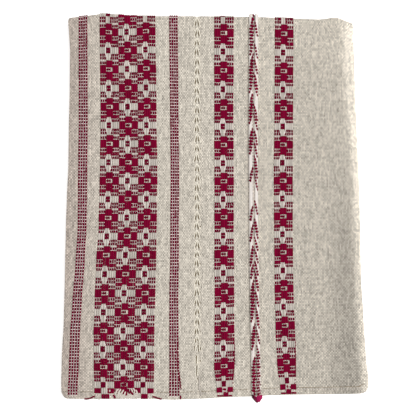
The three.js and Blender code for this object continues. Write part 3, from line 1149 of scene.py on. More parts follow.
FACE_ROW_SPACING = 3.6  # between the rows of the mesh on the top run, and on the hidden ones
HIDDEN_ROW_SPACING = 24
TURN_ROWS = 9  # rows of the mesh round a cross fold
FACE_COLUMNS = 84
SIDE_STEPS = 8  # steps of the mesh round a long fold
BACK_COLUMNS = 13  # columns of one back panel
NEAR_OPENWORK = (-4.6, -3.4, -2.6, -1.8, 0, 1.8, 2.6, 3.4, 4.6)
SHARP_ANGLE = 50  # degrees


def sheet_rows():
    """Lengths along the patterned sheet at which the cloth's mesh has a row of points."""
    rows = [0, 0.5, 1.4, 3.4, HEM_DEPTH - 1.3, HEM_DEPTH - 0.6, HEM_DEPTH, HEM_DEPTH + 1]
    start = HEM_DEPTH + 1
    for index in range(RUN_COUNT):
        end = PATH["turns"][index][0] if index < RUN_COUNT - 1 else PATH["along"][-1]
        spacing = FACE_ROW_SPACING if index == 0 else HIDDEN_ROW_SPACING
        rows.extend(np.linspace(start, end, max(3, round((end - start) / spacing)))[1:])
        if index < RUN_COUNT - 1:
            turn_start, turn_end = PATH["turns"][index]
            rows.extend(np.linspace(turn_start, turn_end, TURN_ROWS)[1:])
            start = turn_end
    return np.array(rows, float)


def face_columns():
    """Warp ends at which the face has a column of points, closer where it dips or rises."""
    even = np.linspace(CLOTH_LEFT, CLOTH_RIGHT, FACE_COLUMNS)
    near_openwork = OPENWORK + np.array(NEAR_OPENWORK)
    far = even[np.abs(even - OPENWORK) > 5.5]
    return np.sort(np.concatenate([far, near_openwork]))


def openwork_dip(warp):
    return -OPENWORK_DEPTH * np.exp(-(((warp - OPENWORK) / OPENWORK_REACH) ** 4))


def wrap_columns(places, radius, rise):
    """One side of the doubled cloth, from one selvedge round to the other: across, out and woven place."""
    left, right = edge_middles(places)
    slit = (left + right) / 2
    turned = math.pi * FACE_MIDDLE
    columns = []
    for share in np.linspace(0, 1, BACK_COLUMNS)[:-1]:
        x = slit - SELVEDGE_SLIT / 2 + (left - slit + SELVEDGE_SLIT / 2) * share
        columns.append((x, -radius, CLOTH_LEFT - turned - (x - left)))
    for step in range(SIDE_STEPS):
        angle = math.pi * step / SIDE_STEPS
        x = left - radius * math.sin(angle)
        columns.append((x, -radius * math.cos(angle), CLOTH_LEFT - turned * (1 - step / SIDE_STEPS)))
    for warp in face_columns():
        columns.append((warp_x(warp, places), radius + rise + openwork_dip(warp), warp))
    for step in range(1, SIDE_STEPS + 1):
        angle = math.pi * step / SIDE_STEPS
        x = right + radius * math.sin(angle)
        columns.append((x, radius * math.cos(angle), CLOTH_RIGHT + turned * step / SIDE_STEPS))
    for share in np.linspace(0, 1, BACK_COLUMNS)[1:]:
        x = right + (slit + SELVEDGE_SLIT / 2 - right) * share
        columns.append((x, -radius, CLOTH_RIGHT + turned + (right - x)))
    return columns


def ring_quads(index):
    """The faces between rings of points, whose numbers are the rows of index."""
    after = np.roll(index, -1, axis=1)
    return np.stack([index[:-1], after[:-1], after[1:], index[1:]], -1).reshape(-1, 4)


def lay_woven_places(mesh, places):
    """Keeps each corner's place in the evenly woven cloth as the mesh's woven coordinates."""
    layer = mesh.uv_layers.new(name="woven")
    layer.data.foreach_set("uv", (places * MM).astype(np.float32).ravel())


def cloth_mesh():
    """A closed body: rings of points round the sheet's section, one ring for each row, and two ends."""
    along = sheet_rows()
    places = places_at(along)
    outside = wrap_columns(places, FACE_OUTSIDE, hem_rise(along))
    inside = wrap_columns(places, FACE_OUTSIDE - SHEET, np.zeros(len(along)))
    columns = outside + inside[::-1]
    points = np.stack([put_on_pile(places, x, out) for x, out, warp in columns], 1)
    warps = [np.broadcast_to(warp, along.shape) for x, out, warp in columns]
    woven = np.stack([np.stack([warp, row_at_length(along, warp) * ROW_DEPTH], -1) for warp in warps], 1)
    rows, width = points.shape[:2]
    index = np.arange(rows * width).reshape(rows, width)
    half = width // 2
    ends = []
    for ring, turn in ((index[0], -1), (index[-1], 1)):
        strip = np.stack([ring[:half - 1], ring[1:half], ring[::-1][1:half], ring[::-1][:half - 1]], -1)
        ends.append(strip[:, ::turn])
    quads = np.concatenate([ring_quads(index), *ends])
    mesh = bpy.data.meshes.new("rebozo")
    mesh.from_pydata(world(points.reshape(-1, 3)).tolist(), [], quads.tolist())
    lay_woven_places(mesh, woven.reshape(-1, 2)[quads.ravel()])
    mesh.shade_smooth()
    mesh.set_sharp_from_angle(angle=math.radians(SHARP_ANGLE))
    return mesh


def declare(obj):
    """Every piece rides on the one body."""
    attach(obj, BODY)
    return obj


def declare_all(pieces):
    for piece in pieces:
        declare(piece)


# Stripes

FLOAT_ROUNDING = 0.45  # how long the rounded ends of a float are
LONGEST_ON_FOLD = 2.0  # longest stretch of a float between two of its points, over the fold and on the run
LONGEST_ON_RUN = 4.2
FLOAT_DIP = -0.2  # how far under the face its two ends go
FLOAT_HEIGHT = 0.25  # of a short float over the face, and how much more a long one has
LONG_FLOAT_HEIGHT = 0.13
FLOAT_SPREAD = 0.94  # share of its width that a short float has, and how much more a long one has
LONG_FLOAT_SPREAD = 0.28


def float_profile(length, over_fold):
    """Where the points of one float lie along it, how high they ride and how wide it is there."""
    rounding = min(FLOAT_ROUNDING, 0.2 * length)
    longest = LONGEST_ON_FOLD if over_fold else LONGEST_ON_RUN
    middles = max(0, math.ceil((length - 2 * rounding) / longest) - 1)
    distance = np.concatenate([[0], np.linspace(rounding, length - rounding, middles + 2), [length]])
    full = FLOAT_HEIGHT + LONG_FLOAT_HEIGHT * min(1, length / 6)
    lift = np.concatenate([[FLOAT_DIP], np.full(middles + 2, full), [FLOAT_DIP]])
    spread = FLOAT_SPREAD + LONG_FLOAT_SPREAD * min(1, max(0, length - 2.95) / 2)
    width = spread * np.concatenate([[0.85], np.ones(middles + 2), [0.85]])
    return distance, lift, width


def is_magenta(letters, row, shift):
    if not shift and HEM_BLOCK[0] <= row < HEM_BLOCK[1] and letters != CHECK_LETTERS:
        return letters == CHART["side"]
    return letters[(row + shift) % len(letters)] == "M"


def runs_of(letters, first_row, last_row, shift):
    """Stretches of rows in which an end stays on the face or under it: from row, to row, on the face."""
    start = first_row
    state = is_magenta(letters, first_row, shift)
    for row in range(first_row + 1, last_row + 1):
        on_top = is_magenta(letters, row, shift)
        if on_top != state or row == last_row:
            yield start, row, state
            start, state = row, on_top


def stripe_ends(name):
    """The warp places, chart letters and row shifts of a stripe's ends."""
    left, right = WOVEN_STRIPES[name]
    count = STRIPES[name]
    for end in range(count):
        warp = left + (right - left) * (end + 0.5) / count
        if name.startswith("check"):
            yield warp, CHECK_LETTERS, 0
            continue
        flower, place = divmod(end, len(FLOWER_ENDS))
        middle = count > len(FLOWER_ENDS) and flower == 1
        yield warp, CHART[FLOWER_ENDS[place]], MIDDLE_FLOWER_SHIFT if middle else 0


def last_row_of(name):
    return CHECK_END if name.startswith("check") else WORN_ROW


def patterned_stretches(warp):
    """Rows whose yarns show: the top run with its fold, and the two folds below it at that end."""
    spare = 3
    first = row_at_length(PATH["turns"][0][1] + spare, warp)
    last = row_at_length(0.4, warp)
    yield int(math.floor(first)), int(last)
    for index in SEAM_FOLDS:
        start, end = PATH["turns"][index]
        shown = start + (end - start) * SHOWN_OF_FOLD[index]
        yield int(math.ceil(row_at_length(shown, warp))), int(row_at_length(start - spare, warp))


def add_float(lines, warp, from_row, to_row, radius, overlap, shades, rng):
    start = length_of_row(from_row, warp) + overlap + rng.normal(0, 0.1)
    length = float(start - length_of_row(to_row, warp)) + overlap + rng.normal(0, 0.1)
    over_fold = start > PATH["turns"][0][0] - 2
    distance, lift, width = float_profile(length, over_fold)
    sway = rng.normal(0, 0.07)
    points, ups = on_face(np.full(len(distance), warp + sway), start - distance, lift)
    shade = rng.uniform(*shades)
    lines.add(points, ups, radius * width * rng.uniform(0.94, 1.05), shade)


def dot_width(letters, row, shift):
    """The dots of the magenta flower's eye are small and those of the white flower's eye are wide."""
    if letters != CHART["centre"]:
        return 1
    if row > WIDE_EYES:
        return HEM_DOT
    return MAGENTA_EYE_DOT if (row + shift) % ROWS_PER_FLOWER == MAGENTA_EYE else WHITE_EYE_DOT


def toward_eye(letters, from_row, to_row, on_top, shift):
    """How far an end's float stands aside to close round the magenta flower's eye, and its width there."""
    first, last = (from_row + shift) % ROWS_PER_FLOWER, (to_row - 1 + shift) % ROWS_PER_FLOWER
    in_eye = MAGENTA_EYE - 1 <= first <= last <= MAGENTA_EYE + 1
    if in_eye and letters == CHART["shared"] and not on_top:
        return EYE_CLOSERS["shared"]
    if in_eye and letters == CHART["centre"]:
        return EYE_CLOSERS["centre"]
    return 0, 1


def in_long_float(end, row):
    """Whether a row of an end lies in a magenta float over two rows or more, or a cream one over three."""
    _, letters, shift = end
    if letters == CHECK_LETTERS:
        return False
    on_face = [is_magenta(letters, row + step, shift) for step in range(-2, 3)]
    if on_face[2]:
        return on_face[1] or on_face[3]
    return any(not any(on_face[first:first + 3]) for first in range(3))


GRID_RADIUS = 0.21
HALO_RADIUS = 0.42


def add_grid(lines, name, look, rng):
    """Thin white yarns between the columns of dots. They dive under the longer floats."""
    ends = list(stripe_ends(name))
    for before, after in zip(ends, ends[1:]):
        if CHART["centre"] in (before[1], after[1]):
            continue
        warp = (before[0] + after[0]) / 2
        for first, last in patterned_stretches(warp):
            covered = [in_long_float(before, row) or in_long_float(after, row) for row in range(first, last)]
            covered = [True] + covered + [True]
            starts = [row for row in range(1, len(covered)) if covered[row - 1] and not covered[row]]
            stops = [row for row in range(1, len(covered)) if covered[row] and not covered[row - 1]]
            for start, stop in zip(starts, stops):
                rows = first + np.arange(start - 1, stop)
                if len(rows) < 3:
                    continue
                lift = np.full(len(rows), look.grid_height)
                lift[[0, -1]] = FLOAT_DIP
                sway = 0.05 * np.sin(rows * 1.3 + warp)
                points, ups = on_face(warp + sway, length_of_row(rows.astype(float), warp), lift)
                lines.add(points, ups, GRID_RADIUS, rng.uniform(0.2, 1))


def add_halos(lines, name, rng):
    """The two bright cream yarns that part round the dots of each white flower."""
    left, right = WOVEN_STRIPES[name]
    flowers = STRIPES[name] // len(FLOWER_ENDS)
    for flower in range(flowers):
        shift = MIDDLE_FLOWER_SHIFT if flowers > 1 and flower == 1 else 0
        middle = left + (right - left) * (flower + 4 / 9) / flowers
        for repeat in range(-1, len(WEFT_ROWS) - 1):
            first = repeat * ROWS_PER_FLOWER - shift + WHITE_FLOWER[0]
            for side in (-1, 1):
                share = np.linspace(0, 1, 13)
                row = first + (WHITE_FLOWER[1] - WHITE_FLOWER[0]) * share
                bulge = np.sin(np.pi * np.clip(share * 1.1 - 0.05, 0, 1)) ** 0.8
                warp = middle + side * (1.2 + (1.75 + rng.normal(0, 0.12)) * bulge)
                along = length_of_row(row, warp)
                lift = 0.8 * np.sin(np.pi * share) ** 0.5 - 0.15
                if along[-1] > HEM_DEPTH and along[0] < PATH["turns"][0][1]:
                    points, ups = on_face(warp, along, lift)
                    lines.add(points, ups, HALO_RADIUS, rng.uniform(0.3, 0.9))


# The floats' shades, how far they reach past their rows and how wide they are: over one row, and over more
MAGENTA_SHADES = ((0, 0.3), (0.45, 0.95))
CREAM_SHADES = ((0.75, 1), (0.1, 0.7))
CHECK_REACHES = (0.8, 0.45)
MAGENTA_REACHES = (0.88, 0.45)
CREAM_REACHES = (-0.38, -0.2)
CREAM_WIDTHS = (0.8, 0.86)


def weave_end(magenta, cream, end, last_row, radius, rng):
    """One end of a stripe: magenta floats where it is on the face and cream ones where it goes under."""
    warp, letters, shift = end
    reaches = CHECK_REACHES if letters == CHECK_LETTERS else MAGENTA_REACHES
    for first, last in patterned_stretches(warp):
        for from_row, to_row, on_top in runs_of(letters, first, last, shift):
            if from_row >= last_row:
                continue
            size = 0 if to_row - from_row == 1 else 1
            aside, share = toward_eye(letters, from_row, to_row, on_top, shift)
            rows = (warp + aside, from_row, to_row)
            if on_top:
                wide = radius if size else radius * dot_width(letters, from_row, shift)
                add_float(magenta, *rows, wide, reaches[size], MAGENTA_SHADES[size], rng)
            else:
                narrow = CREAM_WIDTHS[size] * radius * share
                add_float(cream, *rows, narrow, CREAM_REACHES[size], CREAM_SHADES[size], rng)


def weave_stripes(names, look):
    """The yarns of some stripes: the magenta floats, the cream ones and the white yarns between."""
    rng = np.random.default_rng(7)
    magenta, cream, white = YarnLines(), YarnLines(), YarnLines()
    for name in names:
        left, right = WOVEN_STRIPES[name]
        radius = look.float_width * (right - left) / STRIPES[name] / 2
        for end in stripe_ends(name):
            weave_end(magenta, cream, end, last_row_of(name), radius, rng)
        add_grid(white, name, look, rng)
        if STRIPES[name] >= len(FLOWER_ENDS):
            add_halos(white, name, rng)
    return magenta, cream, white


# The raised seam

def rounded_between(before, here, after, beyond, steps):
    """Points of a smooth curve, some steps from each place to the one after it."""
    bend = 2 * before - 5 * here + 4 * after - beyond
    twist = -before + 3 * here - 3 * after + beyond
    made = []
    for step in range(steps):
        t = step / steps
        made.append(0.5 * (2 * here + (after - before) * t + bend * t * t + twist * t ** 3))
    return np.stack(made, 1).reshape(-1, here.shape[1])


def rounded_outline(rows, steps):
    """A closed outline through the rows' points, rounded between them."""
    points = np.array([list(row.values()) for row in rows], float)
    before, after, beyond = (np.roll(points, shift, 0) for shift in (1, -1, -2))
    return rounded_between(before, points, after, beyond, steps)


def rounded_path(points, steps):
    """An open line through the points, rounded between them."""
    points = np.array(points, float)
    padded = np.concatenate([2 * points[:1] - points[1:2], points, 2 * points[-1:] - points[-2:-1]])
    made = rounded_between(padded[:-3], padded[1:-2], padded[2:-1], padded[3:], steps)
    return np.concatenate([made, points[-1:]])


SEAM_OUTLINE = rounded_outline(SEAM_SECTION, 3)
SEAM_TOP = SEAM_OUTLINE[9:34]  # its part that shows from above
SEAM_ENDS = (-4.3, -3.5, -2.6, -1.7, 1.5, 2.4, 3.3, 4)  # places of the seam's lengthwise cream yarns
SEAM_END_RADIUS = 0.56
CROSSING_LENGTH = 17  # length of the seam over which a magenta end crosses its lobe
CROSSING_FLOAT = 1.26  # half the length of one of its floats, on the run and on the folds
FOLD_FLOAT = 0.85
FOLD_FLOAT_PITCH = 3.1
SEAM_SHADE_SPREAD = 0.65


def seam_shares(along, fold):
    """How far aside, how wide and how high the seam is. It thins where it goes in between two runs."""
    y = HEM_Y + along
    shares = {key: from_table(SEAM_TIP, "y", y, key) for key in ("aside", "width", "rise", "droop")}
    start, end = PATH["turns"][fold]
    turned = (along - start) / (end - start)
    thin = eased((turned - 0.66) / 0.17)
    if fold:
        thin = np.maximum(thin, 1 - eased((turned - 0.16) / 0.17))
    shares["rise"] = shares["rise"] * (1 - 0.95 * thin)
    shares["width"] = shares["width"] * (1 - 0.2 * thin)
    return shares


def on_seam(along, across, rise, valley, lift, fold):
    """Points of the seam, given as places in its section and how far they are lifted out of it."""
    places = places_at(along)
    shares = seam_shares(along, fold)
    sway = SEAM_VALLEY_SWAY * np.sin(2 * np.pi * places["y"] / SEAM_VALLEY_WAVE) * valley
    middle = from_table(LENGTHWISE, "y", places["y"], "seam")
    x = middle + shares["aside"] + (across + sway) * shares["width"]
    hem = HEM_RISE * hem_step(along)
    base = FACE_OUTSIDE - SEAM_SEAT + hem - shares["droop"]
    full = SEAM_RISE + SEAM_CLEARANCE + SEAM_SEAT
    return put_on_pile(places, x, base + full * shares["rise"] * rise + lift)


def on_seam_top(along, across, lift, fold=0):
    """Points on the seam's two lobes and the directions that they look in."""
    rise = np.interp(across, SEAM_TOP[:, 0], SEAM_TOP[:, 1])
    valley = np.interp(across, SEAM_TOP[:, 0], SEAM_TOP[:, 2])
    slope = (np.interp(across + 0.2, SEAM_TOP[:, 0], SEAM_TOP[:, 1])
             - np.interp(across - 0.2, SEAM_TOP[:, 0], SEAM_TOP[:, 1])) * SEAM_RISE / 0.4
    points = on_seam(along, across, rise, valley, lift, fold)
    above = on_seam(along, across - slope, rise, valley, lift + 1, fold)
    return points, above - points


def seam_lengths(fold):
    """The lengths at which the seam's mesh has a ring of points."""
    start, end = PATH["turns"][fold]
    shown = min(5 / 6, SHOWN_OF_FOLD[fold])
    turn = np.linspace(start + (end - start) / 6, start + (end - start) * shown, 17)
    if fold:
        return turn
    run = np.arange(SEAM_END, start + 1, 1.5)
    return np.concatenate([run, np.linspace(start + 1.6, turn[0], 4)[:-1], turn])


def seam_mesh():
    points, quads, caps, woven = [], [], [], []
    count = 0
    size = len(SEAM_OUTLINE)
    girth = np.concatenate([[0], np.cumsum(np.linalg.norm(np.diff(SEAM_OUTLINE[:, :2], axis=0), axis=1))])
    for fold in (0, *SEAM_FOLDS):
        along = seam_lengths(fold)
        rings = [on_seam(along, row[0], row[1], row[2], 0, fold) for row in SEAM_OUTLINE]
        points.append(np.stack(rings, 1).reshape(-1, 3))
        woven.append(np.stack(np.meshgrid(girth, along), -1).reshape(-1, 2))
        index = count + np.arange(len(along) * size).reshape(len(along), size)
        quads.extend(ring_quads(index).tolist())
        caps.extend([index[0][::-1].tolist(), index[-1].tolist()])
        count += index.size
    mesh = bpy.data.meshes.new("raised_seam")
    faces = quads + caps
    mesh.from_pydata(world(np.concatenate(points)).tolist(), [], faces)
    places = np.concatenate(woven)
    loops = np.concatenate([np.array(face) for face in faces])
    lay_woven_places(mesh, places[loops])
    mesh.shade_smooth()
    return mesh


def seam_row_lengths(from_along, to_along):
    """Lengths of the weft rows at which the seam's magenta ends come up."""
    first = int(row_at_length(to_along, SEAM_PLACE)) // 2 * 2 + 1
    last = int(row_at_length(from_along, SEAM_PLACE))
    return np.array([length_of_row(row + 0.5, SEAM_PLACE) for row in range(first, last + 1, 2)])


def seam_yarns():
    """The seam's lengthwise cream yarns and the magenta floats that cross its lobes aslant."""
    rng = np.random.default_rng(11)
    cream, magenta = YarnLines(), YarnLines()
    for fold in (0, *SEAM_FOLDS):
        start, end = PATH["turns"][fold]
        low = SEAM_END - 0.6 if fold == 0 else start + (end - start) / 6
        shown = min(5 / 6, SHOWN_OF_FOLD[fold])
        along = np.arange(low, start + (end - start) * shown, 1.2)
        for across in SEAM_ENDS:
            wander = across + 0.12 * np.sin(along / 5.1 + across * 2)
            lift = 0.05 + 0.1 * np.sin(along * 2 * np.pi / (2 * ROW_DEPTH) + across)
            points, ups = on_seam_top(along, wander, lift, fold)
            cream.add(points, ups, SEAM_END_RADIUS, rng.random())
    return cream, magenta, rng


def add_seam_float(lines, along, across, half_length, radius, lean, fold, rng, palest=0.75):
    distance = np.array([-1, -0.72, 0, 0.72, 1]) * half_length
    lift = np.array([-0.3, 0.42, 0.6, 0.42, -0.3])
    width = np.array([0.6, 0.92, 1, 0.92, 0.6]) * radius
    points, ups = on_seam_top(along + distance, across - lean * distance, lift, fold)
    lines.add(points, ups, width, rng.uniform(palest - SEAM_SHADE_SPREAD, palest))


def cross_lobes(lines, rng):
    """Each magenta end comes up at the valley and passes over its lobe to the outer side."""
    rows = seam_row_lengths(SEAM_END - 1.6, PATH["turns"][0][1] - 2.5)
    for side, starts in ROLL_ENDS.items():
        at_left = side == "left"
        sign = -1 if at_left else 1
        # Painted light: the right lobe's floats are paler, as lit from the right
        palest = 0.75 if at_left else 1.0
        for start in starts:
            top = start - HEM_Y + rng.normal(0, 0.4)
            for along in rows[(rows < top) & (rows > top - CROSSING_LENGTH)]:
                share = (top - along) / CROSSING_LENGTH
                aside = 0.5 + 3.6 * share
                wide = 1.7 if at_left else min(1.3, 0.85 + along / 70)
                radius = wide * (1 - 0.3 * abs(2 * share - 1) ** 3) * rng.uniform(0.8, 1.15)
                place = along + (0.12 + 0.42 * max(0, 1 - along / 16)) * aside
                add_seam_float(
                    lines, place, sign * aside, CROSSING_FLOAT, radius, sign * 0.12, 0, rng, palest)


def cross_folds(lines, rng):
    """The magenta floats that go with the seam round the cross folds."""
    for fold in (0, *SEAM_FOLDS):
        start, end = PATH["turns"][fold]
        span = (end - start) / 6
        low = end - 2 * span if fold == 0 else start + span * 1.3
        high = start + (end - start) * min(0.78, SHOWN_OF_FOLD[fold] - 0.1)
        for index, along in enumerate(np.arange(max(low, start), high, FOLD_FLOAT_PITCH)):
            for across in (-3.4 + index % 3, 1.2 + (index + 1) % 3):
                add_seam_float(lines, along, across, FOLD_FLOAT, 1.0, 0, fold, rng)


# The cut ends at the hem, from the tuft's left side to its right: across the seam, and their raw heights
TUFT = table(
    "place root root_y end end_y",
    (0, -4.9, -186.6, 0.2, -194.9),
    (0.35, -1.8, -188.5, 1.1, -194.6),
    (0.7, 1.8, -188, 3.3, -193.8),
    (1, 4.9, -187.4, 5.4, -190.8),
)

TUFT_PLACE = 42  # where the tuft is across the face
TUFT_ENDS = 58
TUFT_RADII = (0.6, 0.72, 0.74, 0.66, 0.55, 0.3)  # from an end's root to its tip


def tuft(lines, rng):
    """The cut magenta ends beyond the hem, gathered to a point."""
    hem_shift = float(from_table(HEM_WAVE, "x", TUFT_PLACE, "shift"))
    for index in range(TUFT_ENDS):
        place = rng.uniform(0, 1)
        depth = rng.uniform(0, 1)
        keys = ("root", "root_y", "end", "end_y")
        spots = {key: float(from_table(TUFT, "place", place, key)) for key in keys}
        steps = np.linspace(0, 1, len(TUFT_RADII))
        reach = 1 - 0.22 * depth * rng.random()
        root_y = spots["root_y"] + rng.normal(0, 0.55)
        y = root_y + (spots["end_y"] - root_y) * steps * reach
        across = spots["root"] + (spots["end"] - spots["root"]) * steps * reach
        across = across + 0.3 * np.sin(steps * 4 + index) * steps
        places = places_at(y - hem_shift - HEM_Y)
        middle = from_table(LENGTHWISE, "y", places["y"], "seam")
        rounded = 1 - abs(2 * place - 1) ** 2
        out = FACE_OUTSIDE + 1.2 + 2.2 * rounded * (1 - depth) - 2.2 * steps ** 1.4
        points = put_on_pile(places, middle + across, out)
        above = put_on_pile(places, middle + across + (place - 0.5) * 0.6, out + 1)
        # Painted shade at the tuft's left and painted highlight at its right
        shade = np.clip(rng.random() ** 1.5 + 0.55 * (place > 0.45) - 0.75 * (place < 0.25), 0, 1)
        lines.add(points, above - points, np.array(TUFT_RADII), shade)


# Openwork

# The openwork's slots are drawn as dark yarns of painted shadow
SLOT_RADII = (0.45, 0.72, 0.84, 0.72, 0.45)  # from a slot's top to its foot
SLOT_LIFT = 0.42
SMALL_SLOT_SHARE = 0.7  # how many pairs of slots have a small one at their right


def add_slot_pair(dark, cream, top, length, index, rng):
    """Two slots as dark yarns of painted shadow, the strands that part round them and the twisted plies
    between them.
    """
    aside = OPENWORK + 0.35 * math.sin(index * 1.7)
    spread = 1 + 0.35 * math.sin(index * 0.9 + 1)
    for side in (-1, 1):
        steps = np.linspace(0.16, 0.74 + 0.06 * side * math.sin(index * 3.1), len(SLOT_RADII))
        x = aside + side * (0.9 + 1.0 * spread * steps ** 1.4)
        add_on_face(dark, x, top - length * steps, SLOT_LIFT, np.array(SLOT_RADII), 0.5, rng)
        steps = np.linspace(-0.06, 0.88, 8)
        x = aside + side * (0.3 + 3.2 * np.clip(steps, 0, 1) ** 0.6)
        lift = 0.5 - 0.5 * np.clip(steps - 0.55, 0, 1)
        add_on_face(cream, x, top - length * steps, lift, 0.5, 0.9, rng)
    for ply in (0, math.pi):
        steps = np.linspace(0, 1.12, 9)
        x = aside + 0.3 * np.sin(steps * 7 + ply)
        lift = 0.3 + 0.2 * np.cos(steps * 7 + ply)
        add_on_face(cream, x, top - length * steps, lift, 0.36, 0.5, rng)
    if rng.random() < SMALL_SLOT_SHARE:
        y = top - length * np.array([0.44, 0.5, 0.58])
        x = OPENWORK + np.full(3, 3 + rng.normal(0, 0.25))
        add_on_face(dark, x, y, 0.3, np.array([0.45, 0.62, 0.45]), 0.5, rng)


def add_uneven_slots(dark, cream, rng):
    """The column's last slots, one by one as dark yarns of painted shadow, with a strand at each side of
    them.
    """
    for slot in OPENWORK_END:
        steps = np.linspace(0, 1, 5)
        x = slot["from_x"] + (slot["to_x"] - slot["from_x"]) * steps
        y = slot["from_y"] + (slot["to_y"] - slot["from_y"]) * steps
        radii = slot["radius"] * np.array([0.6, 1, 1.1, 1, 0.6])
        add_on_face(dark, x, y, SLOT_LIFT, radii, 0.5, rng)
        for side in (-1.2, 1.2):
            wide = x + side + 0.2 * np.sin(steps * 4 + side)
            add_on_face(cream, wide, y + 0.5 * side, 0.3, 0.5, 0.85, rng)


def openwork_lines():
    """The openwork's slots as dark yarns of painted shadow, and its cream strands, one pair of slots below
    another.
    """
    rng = np.random.default_rng(3)
    dark, cream = YarnLines(), YarnLines()
    top = OPENWORK_FROM
    index = 0
    while top > OPENWORK_TO:
        length = OPENWORK_PITCH + 1.1 * math.sin(index * 2.3) + rng.normal(0, 0.3)
        add_slot_pair(dark, cream, top, length, index, rng)
        top -= length
        index += 1
    add_uneven_slots(dark, cream, rng)
    return dark, cream


def add_on_face(lines, x, y, lift, radius, shade, rng):
    """A line of yarn through places of the face as they are seen, in millimetres."""
    x = np.asarray(x, float)
    y = np.asarray(y, float)
    even = y
    for _ in range(5):
        even = y - wave_shift(x, even)
    along = even - HEM_Y
    places = places_at(along)
    warp = x - OPENWORK
    dip = openwork_dip(warp + OPENWORK)
    out = FACE_OUTSIDE + hem_rise(along) + dip + lift
    points = put_on_pile(places, x, out)
    above = put_on_pile(places, x, out + 1)
    lines.add(points, above - points, radius, np.clip(shade + rng.normal(0, 0.06), 0, 1))


# The hem

def hem_wave(x):
    """How far the hem's wave moves its stitches at places across the face."""
    return wave_shift(x, np.full(len(x), float(STITCH_LINE)))


def add_stitches(cream, dark, low, high, rng):
    """Short cream stitches along a bare stretch of the hem, with a dark hole of painted shadow at the top of
    each.
    """
    for x in np.arange(low + 1, high - 0.6, STITCH_PITCH):
        across = x + rng.normal(0, 0.25)
        y = STITCH_TOP + float(hem_wave(np.array([across]))[0])
        steps = np.linspace(0, 1, 5)
        foot = y - STITCH_LENGTH + rng.normal(0, 0.3)
        lift = np.array([-0.1, 0.28, 0.34, 0.24, -0.2])
        add_on_face(cream, across + 0.5 * steps, y + (foot - y) * steps, lift, 0.44, 0.6, rng)
        hole = y + 0.4 + 0.25 * np.sin(steps * 3 + x)
        width = 0.32 * np.sin(0.4 + 2.3 * steps)
        add_on_face(dark, across + 2.2 * (steps - 0.5), hole, 0.06, width, 0.9, rng)


def add_groove_shade(dark, low, high, rng):
    """The fine dark line of painted shade above the stitches, where the turned hem steps down. It is wider
    at the right and bends up at the corner.
    """
    bend_from = GROOVE_BEND["from_x"]
    x = np.arange(low, high + (3.5 if high > bend_from else 0), 1.5)
    y = HEM_GROOVE_SHADE + hem_wave(x) + 0.15 * np.sin(x / 2.3)
    y = y + GROOVE_BEND["rise"] * np.clip((x - bend_from) / GROOVE_BEND["over"], 0, 1) ** 2
    add_on_face(dark, x, y, 0.04, 0.3 if low > 80 else 0.2, 0.9, rng)


def add_overcast(cream, dark, rng):
    """The yarns sewn over the torn middle of the hem, each with its shadow beside it."""
    for row in OVERCAST:
        steps = np.linspace(0, 1, 7)
        x = row["x"] + row["lean"] * (steps - 0.5)
        y = row["top"] + (row["foot"] - row["top"]) * steps
        x = x + 0.9 * np.sin(np.pi * steps) * np.sign(row["lean"])
        lift = 0.85 * np.sin(np.pi * steps) ** 0.6 - 0.1
        add_on_face(cream, x, y, lift, row["radius"], 0.95, rng)
        add_on_face(dark, x + 1.35, y, 0.3 * np.sin(np.pi * steps), 0.5, 0.5, rng)


def add_torn_strands(cream, rng):
    """The mass of short torn yarns below the overcast ones."""
    for index in range(TORN_STRANDS):
        x = rng.uniform(TORN_EDGE["left"], TORN_EDGE["right"])
        top = rng.uniform(TORN_EDGE["foot"] + 2, TORN_EDGE["top"])
        steps = np.linspace(0, 1, 5)
        length = min(rng.uniform(2, 4.5), top - TORN_EDGE["foot"])
        across = x + rng.normal(0, 1.6) * steps + 0.5 * np.sin(steps * 5 + index)
        lift = 0.1 + 0.55 * rng.random() * np.sin(np.pi * steps)
        add_on_face(cream, across, top - length * steps, lift, 0.55, rng.uniform(0.35, 1), rng)


def add_magenta_blocks(magenta, rng):
    """The upright yarns side by side of each block and dash at the hem."""
    for bar in (*HEM_BARS, *HEM_DASHES):
        count = round((bar["right"] - bar["left"]) / BLOCK_YARN_PITCH)
        for x in np.linspace(bar["left"] + 1, bar["right"] - 1, count):
            y = np.linspace(bar["top"], bar["foot"], 5)
            lift = np.array([-0.1, 0.38, 0.42, 0.38, -0.1])
            add_on_face(magenta, np.full(5, x), y, lift, BLOCK_YARN_RADIUS, rng.uniform(0.4, 0.9), rng)


def add_loose_ends(magenta, cream, rng):
    """The loose ends at the hem and the stray ones that weave along beside the stripes."""
    for lines, paths, radius in ((magenta, LOOSE_MAGENTA, 0.9), (magenta, TORN_MAGENTA, 1.1),
                                 (cream, LOOSE_CREAM, 0.66)):
        for path in paths:
            spots = rounded_path(path, 4)
            add_on_face(lines, spots[:, 0], spots[:, 1], 0.55, radius, 0.4, rng)
    for path in STRAY_ENDS:
        spots = rounded_path(path, 14)
        turn = spots[:, 1] * 2 * np.pi / STRAY_SWAY_LENGTH
        lift = 0.35 + 0.3 * np.sin(turn + 1)
        add_on_face(magenta, spots[:, 0] + 0.35 * np.sin(turn), spots[:, 1], lift, 0.62, 0.3, rng)


def hem_lines():
    """The hem's stitches, the rough overcast of its torn middle, its blocks, its loose ends and the painted
    shadows of its holes, line and overcast.
    """
    rng = np.random.default_rng(5)
    cream, magenta, dark = YarnLines(), YarnLines(), YarnLines()
    for low, high in BARE_HEM:
        add_stitches(cream, dark, low, high, rng)
        add_groove_shade(dark, low, high, rng)
    add_overcast(cream, dark, rng)
    add_torn_strands(cream, rng)
    add_magenta_blocks(magenta, rng)
    add_loose_ends(magenta, cream, rng)
    return cream, magenta, dark


# Settings

